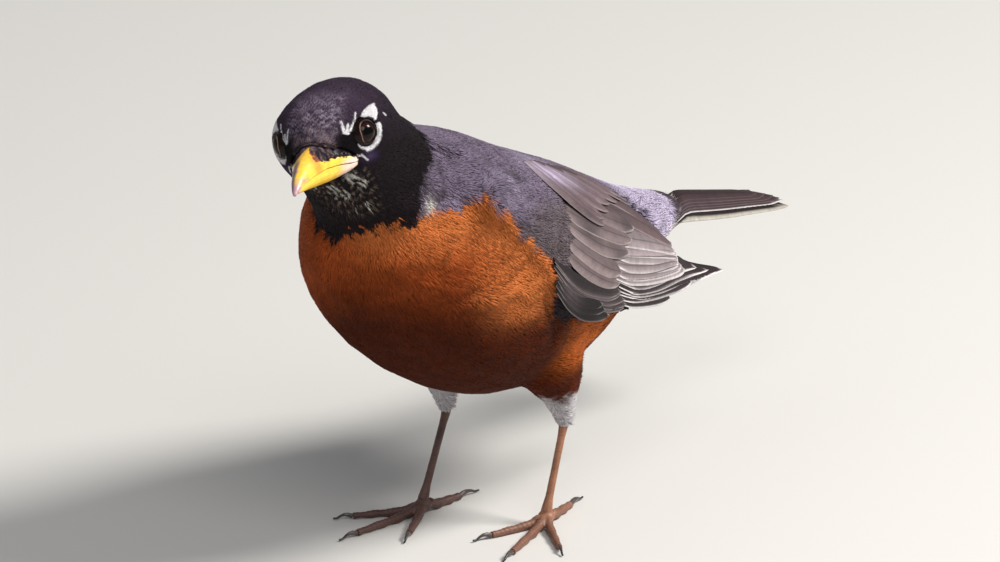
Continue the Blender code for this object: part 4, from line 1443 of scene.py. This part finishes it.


# ---- tail ----------------------------------------------------------------------------------

# The outermost tail feather's painted shade
TAIL_SHADOW_BLACK = tone(0.014, 0.009, 0.010)
# The outermost feather's pale fringe, brightened as painted light
TAIL_PALE_EDGE_LIT = tone(0.42, 0.39, 0.34)
TAIL_SHADE = tone(0.030, 0.018, 0.020)
INNER_TONES, OUTER_TONES = (TAIL_TOP, WHITE_EDGE, TAIL_SHADE), (TAIL_SHADOW_BLACK, TAIL_PALE_EDGE_LIT, TAIL_SHADOW_BLACK)
# From the middle pair outwards: the outer edge's share across the tail, how far back the tip is, the width
# and the pale edge in mm, how strong that is, and the tones. The outermost feather is painted dark as
# shade, with its pale edge brightened by painted light
TAIL_FEATHERS = (
    (0.42, -121.5, 6.0, 0.2, 0.04, INNER_TONES), (0.52, -124.0, 7.2, 0.2, 0.06, INNER_TONES),
    (0.61, -126.2, 7.8, 0.2, 0.06, INNER_TONES), (0.69, -127.6, 7.8, 0.2, 0.08, INNER_TONES),
    (0.77, -127.9, 7.6, 0.28, 0.9, INNER_TONES), (1.0, -126.8, 7.4, 1.1, 0.9, OUTER_TONES),
)
TAIL_LAYER = 0.1                 # mm from one tail feather down to the next one outwards
SIDE_LAYER = 0.2                 # mm that the right half lies below the left one


def build_tail(firm):
    """Twelve tail feathers, each lying under the next one inwards."""
    for side, which in SIDES.items():
        sheet = tail_sheet(side)
        dice = np.random.default_rng(19)
        for number in reversed(range(len(TAIL_FEATHERS))):
            edge, tip, width, fringe, edge_share, tones = TAIL_FEATHERS[number]
            row = (-66, 0.8 * edge + 0.06, -96, edge, tip, 0.98 * edge, width)
            height = 0.05 - TAIL_LAYER * number - (SIDE_LAYER if side < 0 else 0)
            kind = VaneKind(shaft=0.42 - 0.04 * number, height=height, tilt=0.12, rise=0.05, rows=26,
                            lanes=10, tip_start=0.86, tip_power=1.4, thick=0.16, camber=0.1, jitter=0.15,
                            fringe=fringe, edge_share=edge_share)
            laid = vanes(f"tail_feather_{which}_{number + 1}", sheet, (row,), kind, firm, dice)
            feather = vane_piece(laid, tones)
            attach(feather, "root")
            if feather.name == "tail_feather_left_6":
                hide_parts("tail")


# ---- bill, eyes and feet -------------------------------------------------------------------

BILL_YELLOW = tone(0.90, 0.56, 0.050)
BILL_ORANGE = tone(0.80, 0.33, 0.03)
# Dusky: the smudge near the tip, and the painted shade on the bill's far side
BILL_DUSKY = tone(0.13, 0.085, 0.15)
BILL_HORN = tone(0.52, 0.29, 0.34)
GAPE_PINK = tone(0.88, 0.62, 0.52)
NOSTRIL = tone(0.16, 0.035, 0.012)
# The bare culmen's half width and the lower edge of the base's feathers, by how far ahead they are
CULMEN = ((7, 0), (12.3, 0), (14.6, 0.2), (15.3, 0.75), (17.3, 0.9), (18.4, 1.35), (19.4, 2), (20.6, 3),
          (21.5, 4))
NASAL_LOW = ((7, -4.4), (9.7, -3.2), (12.3, -2.4), (14.6, -2.1), (15.3, -2), (17.3, -1.5), (18.4, -1.2),
             (19.4, -1), (20.6, -0.8), (21.5, 0.6))


def nasal_share(head):
    """1 on the bill's feathered base, which runs out to a point over each nostril, in the head's frame."""
    ahead, left, up = apart(mirrored(head))
    outside = left - read_off(CULMEN, ahead) + 0.25 * waves(head, 2.2, 63)
    above = up - read_off(NASAL_LOW, ahead) + 0.3 * waves(head, 1.8, 64)
    return step(-0.1, 0.15, outside) * step(-0.1, 0.15, above) * step(21.2, 20.6, ahead)


def refined(nodes, name, voxel, passes, swell, extra=()):
    """A finely remeshed, smoothed copy of CAD nodes (and any extra pieces) as one mesh."""
    pieces = [copy_of(node, name + "_" + node) for node in nodes] + list(extra)
    piece = joined(pieces, name)
    applied(piece, "DISPLACE", strength=swell * MM, mid_level=0.0)
    applied(piece, "REMESH", mode="VOXEL", voxel_size=voxel * MM, adaptivity=0.0)
    keep_largest(piece)
    applied(piece, "SMOOTH", factor=0.5, iterations=passes)
    piece.data.materials.clear()
    return smooth(piece)


def bill_finish():
    """Horn with fine lines along it and soft blotches, under a thin gloss."""
    finish = Finish("Bill", Specular_IOR_Level=0.5, Coat_Weight=0.25, Coat_Roughness=0.25)
    grain = finish.noise(finish.places((1400.0, 420.0, 2200.0)), 1.0, 5.0, 0.6)
    blotch = finish.noise(finish.places(), 0.7)
    return finish.grained(grain, finish.ranged(blotch, 0.88, 1.08), tint=(0.9, 1.08),
                          roughness=(0.3, 0.48), bump=(0.25, 0.08))


def bill_colour(head, nasal, upper):
    """Yellow horn, orange above and by the nostrils, dusky at the tip and below, with painted shade on its
    far side, pink at the gape.
    """
    ahead, left, up = head.T
    horn_tip = step(26.5, 31, ahead + 0.6 * up + 2 * waves(head, 3, 62))
    # Painted shade on the bill's far side
    far = step(0.1, -0.7, left) * step(21, 24, ahead) * step(-6, -3.5, up)
    smudge = soft_spot(head, (28.6, 0, -3.2), (1.8, np.inf, 0.7))
    gape = step(12.5, 9.0, ahead) * step(-3.2, -5.0, up)
    by_nostril = upper * soft_spot(mirrored(head), (20.4, 3.2, 0), (1.9, 1.4, np.inf))
    specks = step(0.3, 1.0, waves(head, 1.3, 61)) * step(17.5, 19.5, ahead)
    base = painted(NOSTRIL, (BILL_ORANGE * 0.8, 0.5 * specks))
    return painted(BILL_YELLOW, (BILL_ORANGE, 0.5 * step(0, 3, up)), (BILL_HORN, horn_tip),
                   (BILL_DUSKY, 0.85 * far), (BILL_DUSKY * 1.6, 0.6 * smudge), (GAPE_PINK, gape),
                   (BILL_ORANGE, np.clip(1.4 * by_nostril, 0, 1)),
                   (blended(BLACK, base, step(17.0, 18.5, ahead)), nasal))


def build_bill(plumage):
    """Upper and lower bill, and the short feathers on the upper one's base."""
    finish = bill_finish()
    for part in ("upper", "lower"):
        piece = refined((f"bill_{part}",), f"bill_{part}_horn", 0.26, 4, 0.16)
        head = to_head(places_of(piece))
        upper = part == "upper"
        nasal = nasal_share(head) * upper
        head[:, 1] *= 1 - 0.06 * nasal
        move_to(piece, from_head(head))
        tinted(piece, bill_colour(head, nasal, upper))
        piece.data.materials.append(finish)
        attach(piece, "root")
        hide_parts(f"bill_{part}")
        if upper:
            build_nasal(piece, plumage)


def build_nasal(horn, finish):
    """The short feathers on the bill's base."""
    density = lambda places: nasal_share(to_head(places)) * (to_head(places)[:, 0] < 18.7)
    roots, normals = sown(horn, NASAL_TUFTS, density)
    long, wide, lift, spread, curve = coat_shape(roots)
    piece = coat_piece("coat_nasal", roots, normals, (long, wide * 0.8, lift * 0.8, spread, curve),
                       head_colour, finish)
    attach(piece, "root")


IRIS_BROWN = tone(0.017, 0.0048, 0.0034)
PUPIL_BLACK = tone(0.0012, 0.001, 0.001)
LID_DARK = tone(0.010, 0.007, 0.008)
LID_TAN = tone(0.25, 0.17, 0.13)
CORNEA_BULGE = 0.045             # how far the eye's front stands out, as a share of its radius


def eye_finish():
    """A wet ball with faint streaks in the iris."""
    finish = Finish("Eye", Roughness=0.15, Coat_Weight=0.12, Coat_Roughness=0.05, Specular_IOR_Level=0.12)
    finish.tint(finish.ranged(finish.noise(finish.places(), 1.4, 4.0), 0.7, 1.35))
    return finish.material


def lid_finish():
    """Bare, finely wrinkled skin."""
    finish = Finish("Lids", Specular_IOR_Level=0.2)
    wrinkles = finish.noise(finish.places(), 3.0, 4.0, 0.65)
    return finish.grained(wrinkles, tint=(0.7, 1.25), roughness=(0.4, 0.65), bump=(0.5, 0.12))


def turned_to(axis):
    """Columns: two directions across an axis, and the axis, in the frame."""
    out = Vector(turned_to_frame(np.asarray(axis))).normalized()
    side = Vector((0, 0, 1)).cross(out).normalized()
    return Matrix((side, out.cross(side), out)).transposed()


def placed(name, centre, axis):
    """Turns and moves the new primitive to a place in the bird, and leaves its object at the origin."""
    piece = bpy.context.object
    piece.name = piece.data.name = name
    place = turned_to(axis).to_4x4()
    place.translation = Vector(in_frame(centre))
    piece.data.transform(place)
    return smooth(piece)


def build_eyes():
    """Each eyeball with its dark iris and pupil and its bulging front, and the rim of its lids."""
    ball_finish, rim_finish = eye_finish(), lid_finish()
    for side, which in SIDES.items():
        centre, axis = eye_frame(side)
        bpy.ops.object.select_all(action="DESELECT")
        bpy.ops.mesh.primitive_uv_sphere_add(segments=72, ring_count=60, radius=EYE_RADIUS * MM)
        ball = placed(f"eyeball_{which}", centre, axis)
        places = places_of(ball) - centre
        angle = np.degrees(np.arccos(np.clip(places @ axis / EYE_RADIUS, -1, 1)))
        bulge = 1 + CORNEA_BULGE * step(40, 16, angle)
        move_to(ball, centre + places * bulge[:, None])
        tinted(ball, painted(IRIS_BROWN, (IRIS_BROWN * 0.4, step(26, 40, angle)),
                             (PUPIL_BLACK, step(20.5, 18.5, angle))))
        ball.data.materials.append(ball_finish)
        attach(ball, "root")
        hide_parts(f"eye_{which}")
        build_lids(which, side, rim_finish)


RIM_WAYS = np.linspace(0, 360, 120, endpoint=False)              # degrees round the eye
RIM_TURNS = np.linspace(0, 2 * math.pi, 14, endpoint=False)      # round the rim's own section
RIM_THICK, BROW_THICK = 0.13, 0.17   # mm: half the rim's thickness, and what it has more above
BROW_WAY, BROW_LONG = 112, 42    # degrees round the eye where the rim is thickest, and how far that goes


def build_lids(which, side, finish):
    """The bare rim of the lids round the eye's opening, thicker above, as one closed ring."""
    centre, axis, forward, upward = eye_axes(side)
    angle = np.radians(lid_edge(RIM_WAYS) + 1.0)[:, None]
    way = np.radians(RIM_WAYS)[:, None]
    around = np.cos(way) * forward + np.sin(way) * upward
    out = np.cos(angle) * axis + np.sin(angle) * around
    beside = np.cos(angle) * around - np.sin(angle) * axis
    above = np.exp(-((RIM_WAYS - BROW_WAY + 180) % 360 - 180) ** 2 / BROW_LONG ** 2)
    thick = (RIM_THICK + BROW_THICK * above + 0.015 * waves(out * 9, 1.5, 71))[:, None]
    middle = centre + out * EYE_RADIUS * 1.03 + beside * 0.7 * (thick - RIM_THICK)
    points = (middle[:, None] + out[:, None] * (np.cos(RIM_TURNS) * thick)[..., None]
              + beside[:, None] * (np.sin(RIM_TURNS) * thick * 1.15)[..., None])
    number = np.arange(points[..., 0].size).reshape(len(RIM_WAYS), len(RIM_TURNS))
    on, over = np.roll(number, -1, 0), np.roll(number, -1, 1)
    faces = np.stack((number, on, np.roll(on, -1, 1), over), -1).reshape(-1, 4)[:, ::-side]
    front = step(75, 45, np.abs((RIM_WAYS + 180 - 12) % 360 - 180))
    colour = np.repeat(painted(LID_DARK, (LID_TAN, 0.8 * front)), len(RIM_TURNS), 0)
    rim = built(f"lids_{which}", in_frame(points.reshape(-1, 3)), faces, finish, colour)
    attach(rim, "root")


FOOT_AT = {"left": (-6.5, 16.5, 4.2), "right": (7.5, -16.2, 4.2)}
TOE_NAMES = ("inner", "middle", "outer", "hind")
LEG_PINK = tone(0.33, 0.145, 0.080)
# The right leg's darker colour is painted shade, as it lies away from the light; the same tone darkens the
# toes of both feet
LEG_SHADE_AND_TOE_BROWN = tone(0.105, 0.050, 0.040)
LEG_TONES_WITH_SHADE = {"left": LEG_PINK, "right": LEG_SHADE_AND_TOE_BROWN}
CLAW_BROWN = tone(0.075, 0.055, 0.05)
CLAW_BLACK = tone(0.012, 0.01, 0.01)
TOE_PLATE, SHANK_PLATE, TOE_PAD = 1.45, 2.3, 5.2     # mm from plate to plate and from pad to pad
LEG_SLIM = 0.16                  # mm taken off where no plate stands up


def leg_finish():
    """Scaly skin with fine grooves between small plates."""
    finish = Finish("Legs", Specular_IOR_Level=0.45)
    places = finish.places()
    grain = finish.noise(places, 4.5, 4.0, 0.6)
    plates = finish.node("ShaderNodeTexVoronoi", Scale=1.5, feature="DISTANCE_TO_EDGE")
    finish.link(places, plates.inputs["Vector"])
    edges = finish.ranged(plates.outputs["Distance"], 0.7, 1.0, 0.0, 0.12)
    finish.tint(finish.ranged(grain, 0.85, 1.15), edges)
    finish.to_shader(finish.ranged(grain, 0.38, 0.6), "Roughness")
    finish.bump(edges, 0.35, 0.1)
    return finish.material


def claw_finish():
    """Smooth horn with a fine grain."""
    finish = Finish("Claws", Specular_IOR_Level=0.5)
    grain = finish.noise(finish.places((900.0, 900.0, 2600.0)), 1.0, 4.0)
    return finish.grained(grain, tint=(0.7, 1.3), roughness=(0.22, 0.4), bump=(0.2, 0.05))


def foot_hub(which):
    """The knuckle that joins the toes to the shank."""
    bpy.ops.object.select_all(action="DESELECT")
    ahead, left, up = FOOT_AT[which]
    place = spot(ahead, left, up - 1.7)
    bpy.ops.mesh.primitive_ico_sphere_add(subdivisions=3, radius=2.1 * MM, location=place)
    hub = bpy.context.object
    hub.scale = (1.15, 1.15, 0.9)
    only(hub)
    bpy.ops.object.transform_apply(location=True, rotation=True, scale=True)
    return hub


def from_foot(places, which):
    """How far, seen from above, places are from where the toes meet."""
    offset = places - np.array(FOOT_AT[which])
    return np.hypot(offset[:, 0], offset[:, 1])


def foot_relief(foot, which):
    """Raises plates over the toes and up the shank's front, and pads below. Returns toes and grooves."""
    places, normals = places_of(foot), normals_of(foot)
    reach, up = from_foot(places, which), places[:, 2]
    on_toes = step(2.5, 4.0, reach) * step(9, 6, up)
    crown = step(0.05, 0.3, normals[:, 2]) * on_toes
    below = step(0.0, -0.6, normals[:, 2]) * on_toes
    front = step(0.2, 0.8, normals[:, 0]) * (1 - on_toes) * step(6, 9, up) * step(32, 28, up)
    plate, shank = (reach / TOE_PLATE) % 1.0, (up / SHANK_PLATE) % 1.0
    ridge = 0.13 * (plate - 0.5) * crown + 0.06 * (shank - 0.5) * front
    pads = 0.12 * np.cos(reach * 2 * math.pi / TOE_PAD) * below
    places = places + normals * (ridge + pads - LEG_SLIM)[:, None]
    places[:, 2] = np.maximum(places[:, 2], 0.03)
    move_to(foot, places)
    return on_toes, np.maximum(step(0.16, 0.0, plate) * crown, step(0.12, 0.0, shank) * front)


def build_claws(which, finish):
    """Four claws, darker towards their tips."""
    for toe in TOE_NAMES:
        claw = refined((f"claw_{which}_{toe}",), f"claw_horn_{which}_{toe}", 0.11, 3, 0.03)
        reach = from_foot(places_of(claw), which)
        tip = step(reach.min() + 1, reach.max(), reach)
        tinted(claw, painted(CLAW_BROWN, (CLAW_BLACK, tip)))
        claw.data.materials.append(finish)
        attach(claw, "root")
        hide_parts(f"claw_{which}_{toe}")


def build_feet():
    """Each leg is one skin over the bare shank and toes, with plates across the toes, and four claws."""
    leg, horn = leg_finish(), claw_finish()
    for which in SIDES.values():
        nodes = [f"tarsus_{which}"] + [f"toe_{which}_{toe}" for toe in TOE_NAMES]
        foot = refined(nodes, f"leg_{which}", 0.24, 7, 0.2, (foot_hub(which),))
        on_toes, groove = foot_relief(foot, which)
        # The right leg takes the darker tone: painted shade
        base = LEG_TONES_WITH_SHADE[which]
        mottled = base * (1 + 0.12 * waves(places_of(foot), 4, 81))[:, None]
        tinted(foot, painted(mottled, (LEG_SHADE_AND_TOE_BROWN, 0.55 * on_toes), (base * 0.35, 0.6 * groove)))
        foot.data.materials.append(leg)
        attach(foot, "root")
        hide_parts(*nodes)
        build_claws(which, horn)


# ---- stage ---------------------------------------------------------------------------------

VIEW_AZIMUTH, VIEW_ELEVATION = 38.0, 20.0    # degrees: round to the bird's left, and up
VIEW_AIM = (0.00405, 0.0661)     # m from the feet: to the view's right, and up the view
VIEW_DISTANCE = 6.0
VIEW_WIDTH = 0.2786              # m across the view at the bird
SENSOR = 36.0                    # mm
FLOOR_SIZE, FLOOR_DROP = 12, 0.0002      # m, and how far it lies below the feet
FLOOR_GREY = (0.62, 0.61, 0.59, 1)
LIT_UP = 90                      # mm above the feet where the lamps point
# Name, direction (to the view's right, up, towards the camera), distance and size in m, power, colour
LAMPS = (
    ("key", (1.0, 0.92, 0.08), 1.6, 0.55, 36, (1.0, 0.97, 0.92)),
    ("front", (0.25, 0.75, 1.1), 2.2, 1.2, 16, (1.0, 0.99, 0.97)),
    ("fill", (-0.9, 0.5, 0.8), 2.0, 1.4, 3, (0.93, 0.96, 1.0)),
)
SKY, SKY_STRENGTH = (0.86, 0.88, 0.92, 1), 0.30


def view_axes():
    """Towards the camera, to its right and up, in the frame."""
    turn, rise = math.radians(VIEW_AZIMUTH), math.radians(VIEW_ELEVATION)
    back = Vector((math.sin(turn) * math.cos(rise), -math.cos(turn) * math.cos(rise), math.sin(rise)))
    right = Vector((math.cos(turn), math.sin(turn), 0))
    return back, right, back.cross(right)


def build_camera():
    """A long lens that looks down on the bird's left side from ahead."""
    back, right, up = view_axes()
    view = in_scene("view", bpy.data.cameras.new("view"))
    view.data.sensor_width = SENSOR
    view.data.lens = SENSOR * VIEW_DISTANCE / VIEW_WIDTH
    view.data.clip_start = 0.1
    view.location = spot(0, 0, 0) + right * VIEW_AIM[0] + up * VIEW_AIM[1] + back * VIEW_DISTANCE
    view.rotation_euler = Matrix((right, up, back)).transposed().to_euler()
    bpy.context.scene.camera = view


def build_floor():
    """A plain matt floor."""
    bpy.ops.object.select_all(action="DESELECT")
    bpy.ops.mesh.primitive_plane_add(size=FLOOR_SIZE, location=(0, 0, -FLOOR_DROP))
    floor = bpy.context.object
    floor.name = "floor"
    finish = Finish("Floor", Roughness=0.85, Specular_IOR_Level=0.2, Base_Color=FLOOR_GREY)
    floor.data.materials.append(finish.material)


def build_lights():
    """Round soft lamps that face the bird, and a pale room."""
    back, right, _ = view_axes()
    for name, way, distance, size, power, colour in LAMPS:
        lamp = in_scene(name, bpy.data.lights.new(name, "AREA"))
        lamp.data.shape = "DISK"
        lamp.data.size = size
        lamp.data.energy = power
        lamp.data.color = colour
        towards = (right * way[0] + Vector((0, 0, 1)) * way[1] + back * way[2]).normalized()
        lamp.location = spot(0, 0, LIT_UP) + towards * distance
        lamp.rotation_euler = towards.to_track_quat("Z", "Y").to_euler()
    world = bpy.data.worlds.new("room")
    world.use_nodes = True
    backdrop = world.node_tree.nodes["Background"]
    backdrop.inputs["Color"].default_value = SKY
    backdrop.inputs["Strength"].default_value = SKY_STRENGTH
    bpy.context.scene.world = world
    bpy.context.scene.view_settings.view_transform = "Standard"


# ---- putting it together -------------------------------------------------------------------

WING_SHEETS = {side: wing_sheet(side) for side in SIDES}
NECK_BACK, NECK_LOW = 146, 98    # the neck's back edge as ahead + NAPE_SLOPE * up, and its lowest height
SHANK_UP, BREAST_UP = 47, 76     # heights of the shanks' top and the breast's lower edge
BACK_EDGE = ((-40, 74), (0, 92), (30, 112))      # between back and flanks: ahead, up


def coat_regions(roots):
    """The coat's pieces: name, slot, and which roots belong to it."""
    head = to_head(roots)
    on_head = head_share(roots) > 0.5
    face = on_head & (head[:, 0] > -3)
    ahead, left, up = apart(roots)
    arms = {side: on_arm(sheet, roots) & ~on_head for side, sheet in WING_SHEETS.items()}
    rest = ~on_head & ~arms[1] & ~arms[-1]
    neck = rest & (ahead + NAPE_SLOPE * up > NECK_BACK) & (up > NECK_LOW)
    shanks = rest & (up < SHANK_UP)
    rump = rest & (ahead < -40) & ~shanks
    body = rest & ~neck & ~shanks & ~rump
    back = body & (up > read_off(BACK_EDGE, ahead)) & (ahead < 34)
    front = body & ~back
    brow, left_face = head[:, 2] > 0, head[:, 1] > 0
    breast, left_side = up > BREAST_UP, left > 0
    return (
        ("coat_brow_left", "head_feathers", face & left_face & brow),
        ("coat_brow_right", "head_feathers", face & ~left_face & brow),
        ("coat_cheek_left", "head_feathers", face & left_face & ~brow),
        ("coat_cheek_right", "head_feathers", face & ~left_face & ~brow),
        ("coat_hood", "head_feathers", on_head & ~face),
        ("coat_neck", "neck_feathers", neck),
        ("coat_breast_left", "body_feathers", front & left_side & breast),
        ("coat_breast_right", "body_feathers", front & ~left_side & breast),
        ("coat_belly_left", "body_feathers", front & left_side & ~breast),
        ("coat_belly_right", "body_feathers", front & ~left_side & ~breast),
        ("coat_back", "body_feathers", back),
        ("coat_rump", "rump_feathers", rump),
        ("coat_shanks", "thigh_feathers", shanks),
        ("coat_arm_left", "wing_feathers", arms[1]),
        ("coat_arm_right", "wing_feathers", arms[-1]),
    )


def build_coat(skin, finish):
    """The contour plumage, in pieces by the part of the body."""
    roots, normals = sown(skin, COAT_TUFTS, coat_density)
    kept = feathered(roots)
    roots, normals = roots[kept], normals[kept]
    for name, slot, own in coat_regions(roots):
        shape = coat_shape(roots[own], beside_wing(roots[own], normals[own]))
        piece = coat_piece(name, roots[own], normals[own], shape, coat_colour, finish)
        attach(piece, "root")


def main():
    """The whole bird, its stage and its view."""
    skin = build_skin()
    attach(skin, "root")
    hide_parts(*SKIN_NODES)
    plumage = plumage_finish()
    build_coat(skin, plumage)
    firm = vane_finish("Firm feathers", 0.55, 0.13)
    soft = vane_finish("Soft feathers", 0.7, 0.08)
    for side, sheet in WING_SHEETS.items():
        build_wing(side, sheet, firm, soft)
    build_tail(firm)
    build_bill(plumage)
    build_eyes()
    build_feet()
    build_floor()
    build_lights()
    build_camera()


main()
